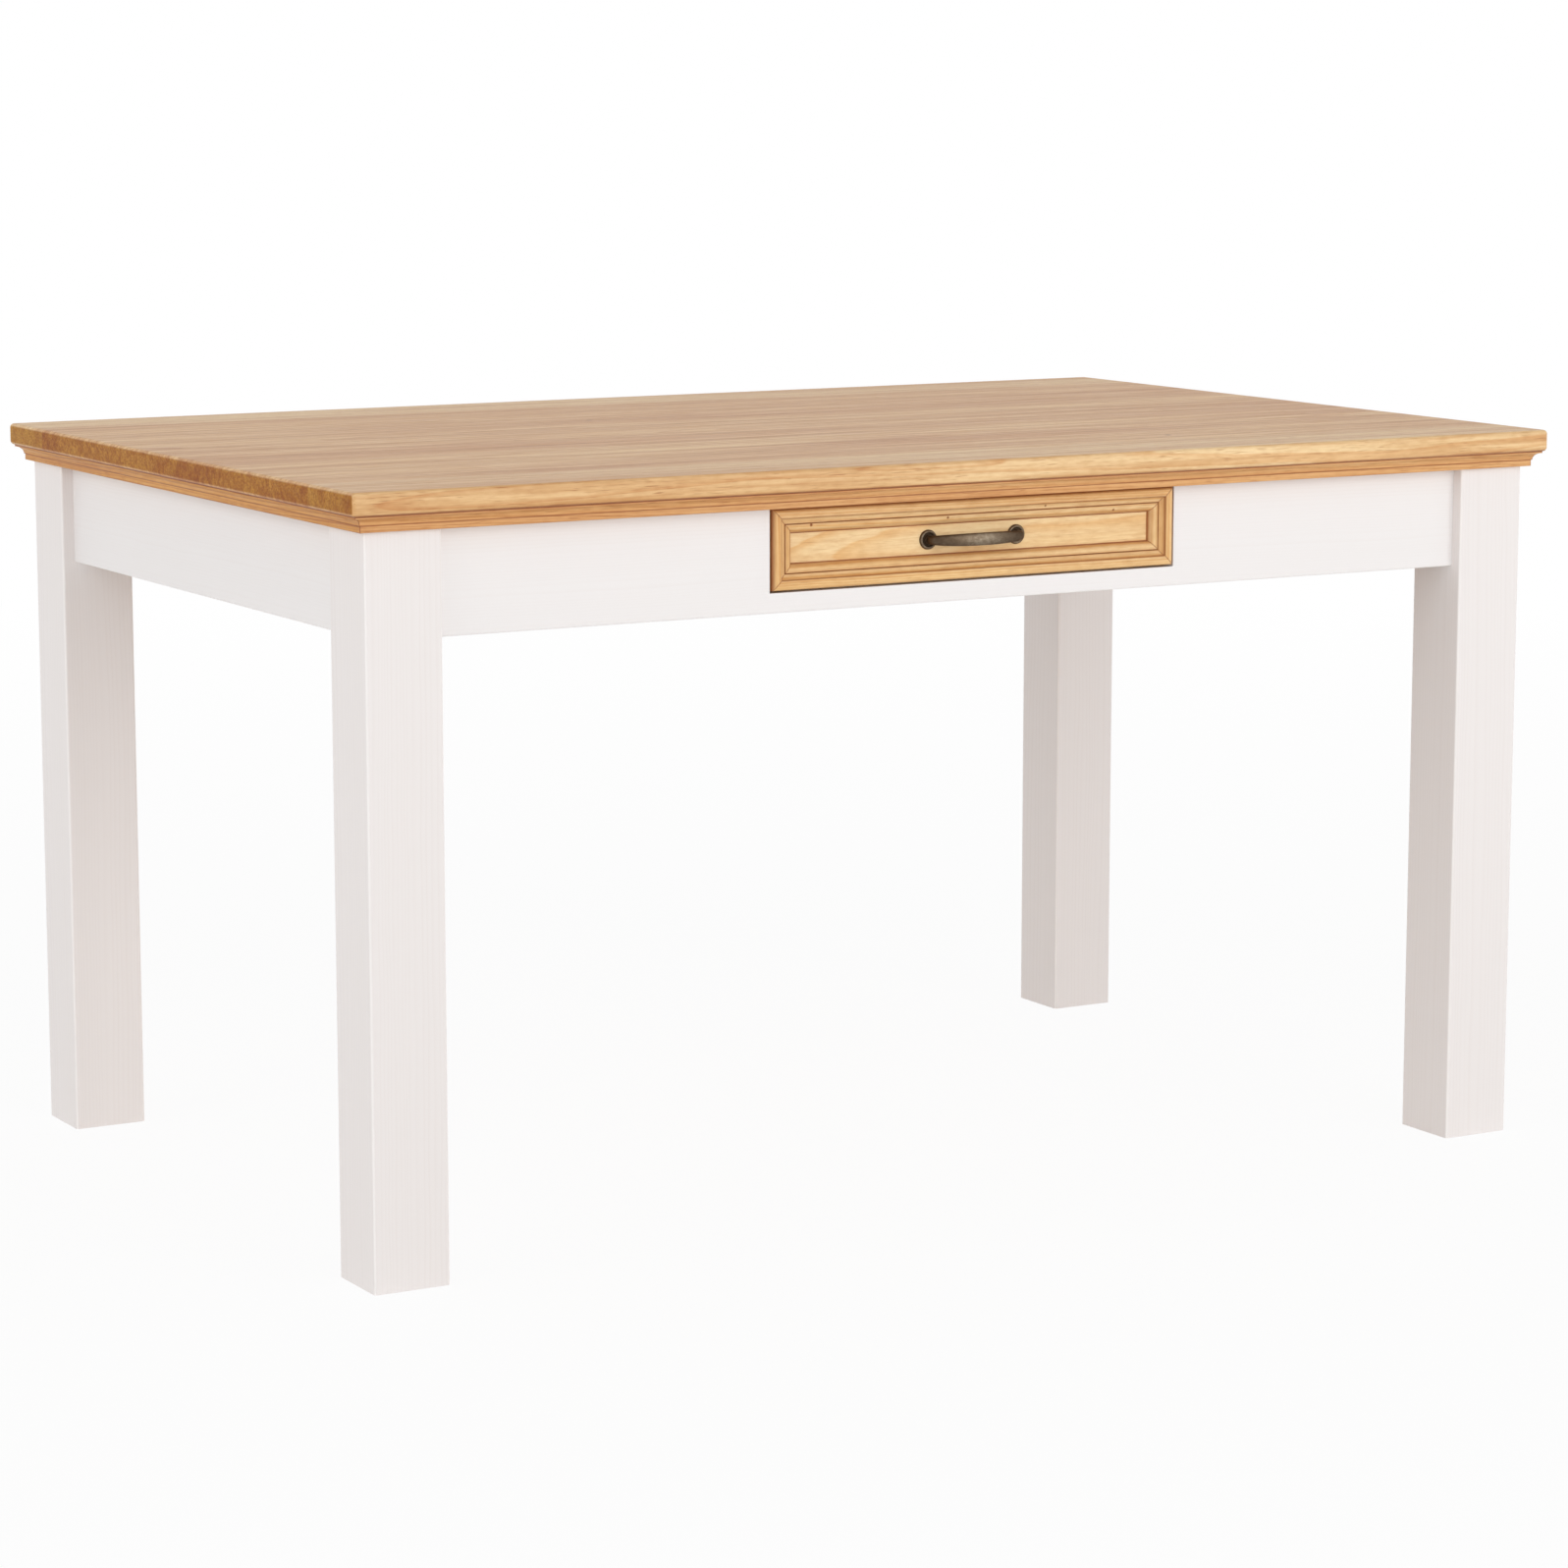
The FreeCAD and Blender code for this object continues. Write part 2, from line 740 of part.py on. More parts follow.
def make_aprons():
    thick = size.apron_thickness
    for back, name in ((-1, "apron_front"), (1, "apron_back")):
        mirror = (back - 1) / 2
        corner = (-joint_x, back * apron_back_y + mirror * thick, apron_bottom)
        body = block(name + "_blank", 2 * joint_x, thick, size.apron_height, corner)
        ease(body, size.apron_round, [{"y": 0, "z": 0}, {"y": thick, "z": 0}])
        if name == "apron_front":
            side = joint_x - size.opening_width / 2
            height = size.apron_height - size.rail_height
            cut_box(body, "opening", size.opening_width, thick, height, (side, 0, size.rail_height))
        finish(name, body)
    for right, name in ((-1, "apron_left"), (1, "apron_right")):
        mirror = (right - 1) / 2
        corner = (right * apron_back_x + mirror * thick, -joint_y, apron_bottom)
        body = block(name + "_blank", thick, 2 * joint_y, size.apron_height, corner)
        ease(body, size.apron_round, [{"x": 0, "z": 0}, {"x": thick, "z": 0}])
        finish(name, body)


# The drawer


def make_drawer_box():
    dowels, screws = [], []
    depth = tail_end - panel_back
    groove = size.drawer_bottom_thickness + size.groove_clearance
    groove_low = size.drawer_bottom_lift - size.groove_clearance / 2
    back_low = bottom_high
    back_high = side_top - size.drawer_back_drop
    back_middle_y = back_front + size.drawer_back_thickness / 2
    for hand, sign in HANDS.items():
        name = f"drawer_side_{hand}"
        mirror = (sign - 1) / 2
        corner = (sign * drawer_inner + mirror * size.drawer_side_thickness, panel_back, side_bottom)
        body = block(name + "_blank", size.drawer_side_thickness, depth, size.drawer_side_height, corner)
        groove_x = 0 if sign > 0 else size.drawer_side_thickness - size.groove_depth
        cut_box(body, "groove", size.groove_depth, depth, groove, (groove_x, 0, groove_low))
        for number in (-1, 1):
            level = side_bottom + size.drawer_side_height / 2
            start = (
                sign * side_middle,
                panel_back - size.drawer_dowel_depth,
                level + number * size.drawer_dowel_spacing / 2,
            )
            made = peg(
                f"{name}_dowel_{number}",
                size.drawer_dowel_diameter,
                size.drawer_dowel_length,
                start,
                (0, 1, 0),
            )
            dowels.append(fasten((name, "drawer_panel"), made))
            seat = (
                sign * drawer_half,
                back_middle_y,
                (back_low + back_high + size.guide_height) / 2 + number * size.drawer_screw_spacing / 2,
            )
            length = size.drawer_side_thickness + 2 * size.screw_bite
            made = screw(f"{name}_screw_{number}", seat, (-sign, 0, 0), length)
            screws.append(fasten((name, "drawer_back"), made))
        finish(name, body)
    bottom_screw_length = size.drawer_bottom_thickness + size.screw_bite
    for number in (-1, 0, 1):
        seat = (number * size.bottom_screw_spacing, back_middle_y, bottom_low)
        made = screw(f"bottom_screw_{number}", seat, (0, 0, 1), bottom_screw_length)
        screws.append(fasten(("drawer_bottom", "drawer_back"), made))
    back = block(
        "drawer_back_blank",
        2 * drawer_inner,
        size.drawer_back_thickness,
        back_high - back_low,
        (-drawer_inner, back_front, back_low),
    )
    finish("drawer_back", back)
    half = drawer_inner + size.groove_depth - size.groove_clearance
    front = panel_back - size.groove_depth + size.groove_clearance
    bottom = block(
        "drawer_bottom_blank",
        2 * half,
        back_rear - front,
        size.drawer_bottom_thickness,
        (-half, front, bottom_low),
    )
    finish("drawer_bottom", bottom)
    group("drawer_dowels", dowels)
    group("drawer_screws", screws)


def make_drawer_front():
    corner = (-front_width / 2, panel_face, front_low)
    panel = block("drawer_panel_blank", front_width, size.panel_thickness, front_height, corner)
    groove_half = drawer_inner + size.groove_depth
    groove_corner = (
        front_width / 2 - groove_half,
        size.panel_thickness - size.groove_depth,
        bottom_low - size.groove_clearance / 2 - front_low,
    )
    groove_height = size.drawer_bottom_thickness + size.groove_clearance
    cut_box(panel, "groove", 2 * groove_half, size.groove_depth, groove_height, groove_corner)
    finish("drawer_panel", panel)

    quirk = size.frame_quirk
    depth = size.frame_depth
    cove_end = size.frame_strip + size.frame_cove
    cove_high = depth - quirk
    cove_low = cove_high - size.frame_cove_drop
    ovolo_start = cove_end + 2 * quirk
    ovolo_end = ovolo_start + size.frame_ovolo
    width = ovolo_end + quirk
    waste = [
        (size.frame_strip, depth),
        (size.frame_strip, cove_high, size.frame_cove),
        (cove_end, cove_low),
        (cove_end + quirk, cove_low - 2 * quirk),
        (ovolo_start, cove_low, -size.frame_ovolo),
        (ovolo_end, size.frame_lip),
        (width, size.frame_lip),
        (width, depth),
    ]
    upright = FreeCAD.Rotation(FreeCAD.Vector(1, 0, 0), 90)
    half_front = front_width / 2
    strips = {
        "bottom": (front_width, 0, (0, panel_face, front_low)),
        "left": (front_height, 90, (-half_front, panel_face, front_middle)),
        "top": (front_width, 180, (0, panel_face, front_low + front_height)),
        "right": (front_height, 270, (half_front, panel_face, front_middle)),
    }
    for side, (length, turn, middle) in strips.items():
        name = "drawer_frame_" + side
        strip = mitred_strip(name, length, width, depth, waste)
        ease(strip, size.frame_round, [{"y": 0, "z": depth}])
        place(strip, middle, FreeCAD.Rotation(FreeCAD.Vector(0, 1, 0), turn) * upright)
        keep(name, strip)


# The bow handle: two turned rosettes, and a strap that widens towards its middle


def bow_section(centre, tangent, width, thickness):
    """An upright ellipse across the bow."""
    across = tangent.cross(UP)
    ellipse = Part.Ellipse(centre + UP * (width / 2), centre + across * (thickness / 2), centre)
    return Part.Wire(ellipse.toShape())


def bow_shape():
    """The bow in its own axes: feet on y = 0, reaching towards -Y."""
    half = size.handle_spacing.value / 2
    post = size.handle_post.value
    reach = size.handle_reach.value
    foot = size.handle_foot_width.value
    wide = size.handle_strap_width.value - foot
    thin = size.handle_strap_thickness.value - foot
    path = [(FreeCAD.Vector(-half, 0, 0), FreeCAD.Vector(0, -1, 0), 0)]
    for step in range(-HANDLE_SECTIONS, HANDLE_SECTIONS + 1):
        angle = math.radians(90 * step / HANDLE_SECTIONS)
        centre = FreeCAD.Vector(half * math.sin(angle), -post - reach * math.cos(angle), 0)
        tangent = FreeCAD.Vector(half * math.cos(angle), reach * math.sin(angle), 0).normalize()
        path.append((centre, tangent, math.cos(angle)))
    path.append((FreeCAD.Vector(half, 0, 0), FreeCAD.Vector(0, 1, 0), 0))
    sections = [
        bow_section(centre, tangent, foot + wide * share + TOLERANCE, foot + thin * share)
        for centre, tangent, share in path
    ]
    return Part.makeLoft(sections, True)


def make_handle():
    foot_y = panel_face - size.rosette_thickness
    bow = doc.addObject("Part::Feature", "handle_bow_cast")
    bow.Shape = bow_shape()
    place(bow, (0, foot_y, front_middle))
    rosettes, screws = [], []
    radius = size.rosette_diameter / 2
    screw_radius = size.handle_screw_diameter / 2 + size.hole_clearance
    length = size.panel_thickness + size.rosette_thickness + size.handle_screw_bite
    profile = [
        (screw_radius, 0),
        (radius, 0),
        (radius, size.rosette_step),
        (radius - size.rosette_step, 2 * size.rosette_step),
        (radius - size.rosette_rim, 2 * size.rosette_step),
        (radius - size.rosette_rim - size.rosette_step, size.rosette_step),
        (size.handle_foot_width / 2 + size.rosette_step, size.rosette_step),
        (size.handle_foot_width / 2, size.rosette_thickness),
        (screw_radius, size.rosette_thickness),
    ]
    for hand, sign in HANDS.items():
        x = sign * size.handle_spacing / 2
        body = doc.addObject("PartDesign::Body", "rosette_" + hand)
        turned = body.newObject("PartDesign::Revolution", f"rosette_{hand}_turned")
        sketch = outline(body, "profile", "XZ_Plane", profile)
        turned.Profile = sketch
        turned.ReferenceAxis = (sketch, ["V_Axis"])
        turned.Angle = 360
        body.Tip = turned
        place(body, (x, panel_face, front_middle), FreeCAD.Rotation(FreeCAD.Vector(1, 0, 0), 90))
        rosettes.append(body)
        seat = (x, panel_back, front_middle)
        made = screw("handle_screw_" + hand, seat, (0, -1, 0), length, size.handle_screw_diameter)
        screws.append(fasten(("drawer_panel", "handle_bow"), made))
    group("handle_rosettes", rosettes)
    group("handle_screws", screws)
    finish("handle_bow", bow)


# Fasteners come before the pieces that they pass through
make_apron_dowels()
make_corner_blocks()
make_brackets()
make_battens()
make_runners()
make_catch()
make_drawer_box()
make_handle()
make_top()
make_mouldings()
make_legs()
make_aprons()
make_drawer_front()
doc.recompute()

for thing in doc.Objects:
    assert not {"Invalid", "Error"} & set(thing.State), f"{thing.Name} did not build: {thing.State}"
for label, thing in sub_parts.items():
    shape = thing.Shape
    assert not shape.isNull() and shape.isValid() and shape.Solids, f"{label} has no valid solid"

os.makedirs("parts", exist_ok=True)
for label, thing in sub_parts.items():
    thing.Shape.exportStep(f"parts/{label}.step")
print(len(sub_parts), "sub-parts")
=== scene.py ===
# %% [markdown]
# # A country dining table, dressed piece by piece
# The carpentry of this table comes finished: every board, rail, dowel and screw is already a separate piece
# at its real size. What is left for Blender is what the eye reads as wood, paint and metal. We load the
# pieces once and never move them. A piece either gets a better finish, or a finer piece takes its place.

import math
import random

import bmesh
import bpy
from mathutils import Matrix, Vector


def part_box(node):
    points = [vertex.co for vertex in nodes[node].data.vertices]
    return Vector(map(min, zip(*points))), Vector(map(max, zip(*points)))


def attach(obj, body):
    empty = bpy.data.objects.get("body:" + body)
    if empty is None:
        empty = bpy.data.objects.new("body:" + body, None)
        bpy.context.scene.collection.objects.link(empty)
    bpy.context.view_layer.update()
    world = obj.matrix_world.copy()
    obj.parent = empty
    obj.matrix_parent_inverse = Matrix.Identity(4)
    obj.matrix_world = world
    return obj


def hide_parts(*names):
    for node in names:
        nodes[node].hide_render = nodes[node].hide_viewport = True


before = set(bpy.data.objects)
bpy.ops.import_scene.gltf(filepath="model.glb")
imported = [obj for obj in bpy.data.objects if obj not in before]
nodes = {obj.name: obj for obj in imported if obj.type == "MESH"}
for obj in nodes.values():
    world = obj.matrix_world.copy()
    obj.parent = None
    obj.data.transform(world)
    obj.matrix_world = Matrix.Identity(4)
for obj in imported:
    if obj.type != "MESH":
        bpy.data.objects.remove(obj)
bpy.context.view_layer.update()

# %% [markdown]
# ## The camera
# The camera stands to the left of the drawer, a little above the top. Its long lens keeps the far legs from
# shrinking. It could be judged by eye, but the corners of a table are easy to measure in a picture, so the
# place and the focal length were solved from them.

# %% Camera
def new_object(name, data):
    """A new object in the scene."""
    item = bpy.data.objects.new(name, data)
    bpy.context.scene.collection.objects.link(item)
    return item


PICTURE_SIDE = 1597
FOCAL_PIXELS = 4680.97
CAMERA_PLACE = (-2.44699, -4.31138, 1.18419)
LOOK_DOWN = 0.1610
LOOK_RIGHT = 0.5188

lens = bpy.data.cameras.new("camera")
lens.sensor_width = 36
lens.lens = FOCAL_PIXELS / PICTURE_SIDE * lens.sensor_width
lens.clip_end = 200
camera = new_object("camera", lens)
camera.location = CAMERA_PLACE
camera.rotation_euler = (math.pi / 2 - LOOK_DOWN, 0, -LOOK_RIGHT)
bpy.context.scene.camera = camera
print("lens:", round(lens.lens, 2), "mm")

# %% [markdown]
# ## Floor, background and light
# White furniture on white is lit with large soft sources, so that no edge throws a hard shadow. The room
# gives most of the light, more from its walls than from its ceiling. A wide panel in front makes the front
# faces a little brighter than the ends, and a weaker one on the left lifts the end that the camera sees.
# The background is pure white only to the camera and to shiny surfaces, so it adds no light to the table.
# The floor does the same in part, more so far away, and what is left of its shading keeps the shadow. Its
# underside is clear, so the table can be looked at from below.

# %% Colours are written as on a screen
def screen(red, green, blue):
    """A colour from 0 to 255, turned into light."""
    parts = [value / 255 for value in (red, green, blue)]
    light = [part / 12.92 if part <= 0.04045 else ((part + 0.055) / 1.055) ** 2.4 for part in parts]
    return light + [1]


WHITE = screen(255, 255, 255)


# %% A short way to write nodes
def step(tree, kind, sockets=None, **settings):
    """Adds one node. A value is set on its socket, and another node's socket is linked to it."""
    node = tree.nodes.new(kind)
    for name, value in settings.items():
        setattr(node, name, value)
    for name, value in (sockets or {}).items():
        if isinstance(value, bpy.types.NodeSocket):
            tree.links.new(value, node.inputs[name])
        else:
            node.inputs[name].default_value = value
    return node


def made(tree, kind, sockets=None, **settings):
    """Adds one node and gives back its first output."""
    return step(tree, kind, sockets, **settings).outputs[0]


def calc(tree, operation, *numbers):
    """One sum of a few numbers."""
    return made(tree, "ShaderNodeMath", dict(enumerate(numbers)), operation=operation)


def times(tree, first, second):
    """One number times another."""
    return calc(tree, "MULTIPLY", first, second)


def between(tree, value, low, high, at_low, at_high):
    """A number that goes from at_low to at_high as value goes from low to high, and stays there."""
    sockets = {"Value": value, "From Min": low, "From Max": high, "To Min": at_low, "To Max": at_high}
    return made(tree, "ShaderNodeMapRange", sockets)


MEASURES = ("LENGTH", "DISTANCE", "DOT_PRODUCT")


def vector(tree, operation, first, second=(0, 0, 0)):
    """One sum of two places. A measure gives a number, and the others a place."""
    node = step(tree, "ShaderNodeVectorMath", {0: first, 1: second}, operation=operation)
    return node.outputs["Value" if operation in MEASURES else "Vector"]


def here(tree):
    """The place that is being coloured, in metres."""
    return step(tree, "ShaderNodeTexCoord").outputs["Object"]


def true_normal(tree):
    """The way a flat face looks, before any smoothing."""
    return step(tree, "ShaderNodeNewGeometry").outputs["True Normal"]


def upward(tree):
    """How far a face looks up, from -1 to 1."""
    return step(tree, "ShaderNodeSeparateXYZ", {0: true_normal(tree)}).outputs["Z"]


def seen_directly(tree):
    """1 for rays from the camera or a shiny surface, 0 for rays that light the table."""
    path = step(tree, "ShaderNodeLightPath").outputs
    shiny = calc(tree, "MAXIMUM", path["Is Glossy Ray"], path["Is Transmission Ray"])
    return calc(tree, "MAXIMUM", path["Is Camera Ray"], shiny)


# %% Room and background
WALL_LIGHT = 1.40
CEILING_LIGHT = 0.36
CEILING_FROM = 0.8

world = bpy.data.worlds.new("white_room")
world.use_nodes = True
room = world.node_tree
room.nodes.clear()
direction = step(room, "ShaderNodeTexCoord").outputs["Generated"]
height = step(room, "ShaderNodeSeparateXYZ", {0: direction}).outputs["Z"]
light_level = between(room, height, 0.0, CEILING_FROM, WALL_LIGHT, CEILING_LIGHT)
level = between(room, seen_directly(room), 0.0, 1.0, light_level, 1.0)
sky = made(room, "ShaderNodeBackground", {"Color": WHITE, "Strength": level})
step(room, "ShaderNodeOutputWorld", {"Surface": sky})
bpy.context.scene.world = world
bpy.context.scene.view_settings.view_transform = "Standard"
print("room light:", WALL_LIGHT, "from the walls,", CEILING_LIGHT, "from above")

# %% Floor
FLOOR_SIDE = 60.0
FLOOR_PAINT = screen(248, 248, 248)
WHITE_NEAR, WHITE_FAR = 0.93, 1.0
NEAR, FAR = 1.2, 5.0

floor_mesh = bpy.data.meshes.new("floor")
half = FLOOR_SIDE / 2
floor_corners = [(-half, -half, 0), (half, -half, 0), (half, half, 0), (-half, half, 0)]
floor_mesh.from_pydata(floor_corners, [], [(0, 1, 2, 3)])
floor = new_object("floor", floor_mesh)
floor_finish = bpy.data.materials.new("white_floor")
floor_finish.use_nodes = True
tree = floor_finish.node_tree
tree.nodes.clear()
away = vector(tree, "LENGTH", here(tree))
whiteness = between(tree, away, NEAR, FAR, WHITE_NEAR, WHITE_FAR)
share = times(tree, seen_directly(tree), whiteness)
matt = made(tree, "ShaderNodeBsdfDiffuse", {"Color": FLOOR_PAINT})
glow = made(tree, "ShaderNodeEmission", {"Color": WHITE})
from_above = made(tree, "ShaderNodeMixShader", {0: share, 1: matt, 2: glow})
is_below = step(tree, "ShaderNodeNewGeometry").outputs["Backfacing"]
clear = made(tree, "ShaderNodeBsdfTransparent")
one_sided = made(tree, "ShaderNodeMixShader", {0: is_below, 1: from_above, 2: clear})
step(tree, "ShaderNodeOutputMaterial", {"Surface": one_sided})
floor_mesh.materials.append(floor_finish)
print("floor:", FLOOR_SIDE, "m square")

# %% Lamps
LAMP_AIM = Vector((0, 0, 0.5))
LAMPS = {
    "front_panel": ((1.2, -4.6, 1.3), 3.2, 58),
    "left_panel": ((-4.8, -0.8, 2.0), 3.0, 34),
}

for name, (place, side, watts) in LAMPS.items():
    lamp_data = bpy.data.lights.new(name, "AREA")
    lamp_data.size = side
    lamp_data.energy = watts
    lamp = new_object(name, lamp_data)
    lamp.location = place
    lamp.rotation_euler = (LAMP_AIM - Vector(place)).to_track_quat("-Z", "Y").to_euler()
print("lamps:", ", ".join(LAMPS))

# %% [markdown]
# ## How pine grows
# Pine gets its look from the tree: pale early wood and dark late wood in rings round the heart, cut by the
# saw. A flat picture of grain would stop at every edge. Here the rings are worked out in space from the
# distance to the heart line, so a board shows streaks on its face and arcs on its end, and they meet at the
# edge. Every board gets its own heart line, so no two are alike.

# %% Heart line of a board
TURN_TO_X = {
    "X": Matrix.Identity(3),
    "Y": Matrix.Rotation(math.radians(-90), 3, "Z"),
    "Z": Matrix.Rotation(math.radians(90), 3, "Y"),
    "rising": Matrix.Rotation(math.radians(-45), 3, "Z"),
    "falling": Matrix.Rotation(math.radians(45), 3, "Z"),
}


def heart_place(tree, along, heart, lean):
    """Places seen from the heart line, with the grain along X. Lean is how askew the saw ran."""
    turn = Matrix.Rotation(lean, 3, "Z") @ TURN_TO_X[along]
    sockets = {"Vector": here(tree), "Location": -(turn @ Vector(heart)), "Rotation": turn.to_euler()}
    return made(tree, "ShaderNodeMapping", sockets)


# %% Patterns that follow the grain
def cloud(tree, place, scale, detail=2.0, output=0):
    """Soft noise, squeezed by scale, so that it is long where scale is small."""
    sockets = {"Vector": vector(tree, "MULTIPLY", place, scale), "Scale": 1.0, "Detail": detail}
    return step(tree, "ShaderNodeTexNoise", sockets).outputs[output]


def ramp(tree, value, stops):
    """A number turned into another by straight lines between stops."""
    node = step(tree, "ShaderNodeValToRGB", {"Fac": value})
    marks = node.color_ramp.elements
    while len(marks) < len(stops):
        marks.new(0.5)
    for mark, (position, height) in zip(marks, stops):
        mark.position = position
        mark.color = (height, height, height, 1)
    return node.outputs[0]


def blotches(tree, place, scale, detail, start, full):
    """Blotches from soft noise, which grow from 0 at start to 1 at full."""
    return ramp(tree, cloud(tree, place, scale, detail), [(start, 0), (full, 1)])


def tinted(tree, share, first, second, mode="MIX"):
    """Two colours mixed by share. In MULTIPLY the second stains the first."""
    node = step(tree, "ShaderNodeMix", {0: share, 6: first, 7: second}, data_type="RGBA", blend_type=mode)
    return node.outputs[2]


# %% Rings, fibres and resin
LATE_WOOD = [(0.0, 0.12), (0.1, 0.0), (0.5, 0.1), (0.82, 0.8), (0.93, 1.0), (1.0, 0.12)]
# Waves per metre along the grain, and across it both ways.
SLOW_WAVE, RIPPLE = (1.1, 3.0, 3.0), (7.0, 55.0, 55.0)
FIBRES, RESIN, SLOW_TONE = (16.0, 900.0, 900.0), (38.0, 1100.0, 1100.0), (0.9, 22.0, 22.0)
RIPPLE_SIZE = 0.004
UNEVEN_YEARS, WEAKEST_YEAR = 3.0, 0.4


def pine_figure(tree, place, ring_width, drift):
    """Late wood, fibres, resin dashes and slow tone of one board, each from 0 to 1."""
    bent = place
    for scale, size in ((SLOW_WAVE, drift), (RIPPLE, RIPPLE_SIZE)):
        wave = cloud(tree, place, scale, 1.0, "Color")
        centred = vector(tree, "SUBTRACT", wave, (0.5, 0.5, 0.5))
        bent = vector(tree, "ADD", bent, vector(tree, "MULTIPLY", centred, (size, size, size)))
    radius = vector(tree, "LENGTH", vector(tree, "MULTIPLY", bent, (0, 1, 1)))
    sockets = {"W": radius, "Scale": 45.0, "Detail": 1.0}
    uneven = made(tree, "ShaderNodeTexNoise", sockets, noise_dimensions="1D")
    years = calc(tree, "MULTIPLY_ADD", uneven, UNEVEN_YEARS, calc(tree, "DIVIDE", radius, ring_width))
    late = ramp(tree, calc(tree, "FRACT", years), LATE_WOOD)
    whole = calc(tree, "FLOOR", years)
    season = made(tree, "ShaderNodeTexWhiteNoise", {"W": whole}, noise_dimensions="1D")
    strength = calc(tree, "MULTIPLY_ADD", season, 1 - WEAKEST_YEAR, WEAKEST_YEAR)
    fibre = cloud(tree, place, FIBRES)
    resin = blotches(tree, place, RESIN, 1.0, 0.62, 0.74)
    tone = cloud(tree, place, SLOW_TONE, 3.0)
    return times(tree, late, strength), fibre, resin, tone


# %% [markdown]
# ## Lacquered pine
# The top, its moulding and the drawer front are clear-lacquered pine. Lacquer is a thin glossy film over
# the colour, so it is the shader's coat: seen flat along the top it mirrors the white room and looks pale,
# and seen square on it lets the warm wood through. No tree grows evenly, so slow bands, long streaks and a
# fine mottle, each a soft noise stretched along the grain, are laid over the rings. End grain drinks more
# finish and is darker. Dark lines are painted into the colour: at the mitres they are the dark joints, and
# in the grooves, under the top and along the drawer's edges they are painted shade, which makes a moulding
# readable in soft light.

# %% Palettes
def pine_palette(early, late, slow, dashes, mottle, streaks):
    """Colours of early wood, late wood and slow bands, and the strength of three fine patterns."""
    colours = {"early": screen(*early), "late": screen(*late), "slow": screen(*slow)}
    return {**colours, "dashes": dashes, "mottle": mottle, "streaks": streaks}


PINE_TOP = pine_palette((253, 220, 164), (230, 180, 118), (228, 203, 180), 0.6, 0.3, 0.8)
PINE_OUTER = pine_palette((255, 229, 180), (241, 198, 142), (233, 211, 187), 0.6, 0.3, 0.6)
PINE_EDGE = pine_palette((249, 209, 151), (220, 166, 105), (230, 206, 180), 0.5, 0.25, 0.4)
# A darker, less blue copy of the moulding pine for the two end mouldings: painted shade, as the ends get
# less light than the front.
PINE_SIDE_SHADED = pine_palette((232, 178, 94), (192, 124, 48), (226, 199, 154), 0.5, 0.3, 0.4)
PINE_DRAWER = pine_palette((255, 230, 180), (240, 190, 118), (245, 227, 199), 0.25, 0.3, 0.2)
PINE_RAW = pine_palette((228, 199, 158), (196, 152, 104), (240, 230, 216), 0.6, 0.2, 0.2)
MOTTLE_TINT, STREAK_TINT = screen(218, 186, 150), screen(226, 202, 176)
RESIN_TINT, FIBRE_TINT = screen(190, 140, 95), screen(220, 192, 165)
PORE_TINT, KNOT_TINT = screen(214, 196, 178), screen(160, 104, 58)
END_GRAIN = screen(206, 177, 100)
# One dark brown for the joints and for the painted shade in grooves and under edges.
STAIN_AND_SHADE = screen(156, 92, 42)


# %% Parts of a wood finish
def new_finish(name):
    """An empty finish with its node tree and its shader."""
    finish = bpy.data.materials.new(name)
    finish.use_nodes = True
    return finish, finish.node_tree, finish.node_tree.nodes["Principled BSDF"]


def end_grain_share(tree, along):
    """1 on faces that look along the grain, 0 on the long faces."""
    axis = TURN_TO_X[along].inverted() @ Vector((1, 0, 0))
    facing = calc(tree, "ABSOLUTE", vector(tree, "DOT_PRODUCT", true_normal(tree), axis))
    return ramp(tree, facing, [(0.8, 0), (0.97, 1)])


def surface(tree, shader, colour, roughness, heights, depth):
    """Gives a shader its colour, its roughness and a fine relief from weighted patterns."""
    tree.links.new(colour, shader.inputs["Base Color"])
    tree.links.new(roughness, shader.inputs["Roughness"])
    total = 0.0
    for pattern, weight in heights:
        total = calc(tree, "MULTIPLY_ADD", pattern, weight, total)
    bump = made(tree, "ShaderNodeBump", {"Height": total, "Distance": depth})
    tree.links.new(bump, shader.inputs["Normal"])


def measured(tree, axis, start, sign=1.0):
    """The distance from start along one axis of the table."""
    place = step(tree, "ShaderNodeSeparateXYZ", {0: here(tree)}).outputs[axis]
    return times(tree, calc(tree, "SUBTRACT", place, start), sign)


def lines(tree, distance, marks):
    """Soft lines where a distance meets the given marks, each with its half width and strength."""
    total = 0.0
    for position, reach, strength in marks:
        gap = calc(tree, "ABSOLUTE", calc(tree, "SUBTRACT", distance, position))
        total = calc(tree, "MAXIMUM", total, between(tree, gap, 0.0, reach, strength, 0.0))
    return total


def knots(tree, places):
    """Small round knots at places on the surface, each with its radius."""
    total = 0.0
    for place, radius in places:
        away = vector(tree, "DISTANCE", here(tree), place)
        total = calc(tree, "MAXIMUM", total, between(tree, away, radius * 0.35, radius, 1.0, 0.0))
    return total


# %% One piece of pine
PORES, MOTTLE, STREAKS = (60.0, 420.0, 420.0), (70.0, 230.0, 230.0), (4.0, 130.0, 130.0)
LATE_ON_END = 0.45
FIBRE_SHARE = 0.5
COAT_ROUGHNESS = 0.25
SHINE_ON_FACE, SHINE_ON_END = 0.3, 0.1
WOOD_RELIEF = 0.0003


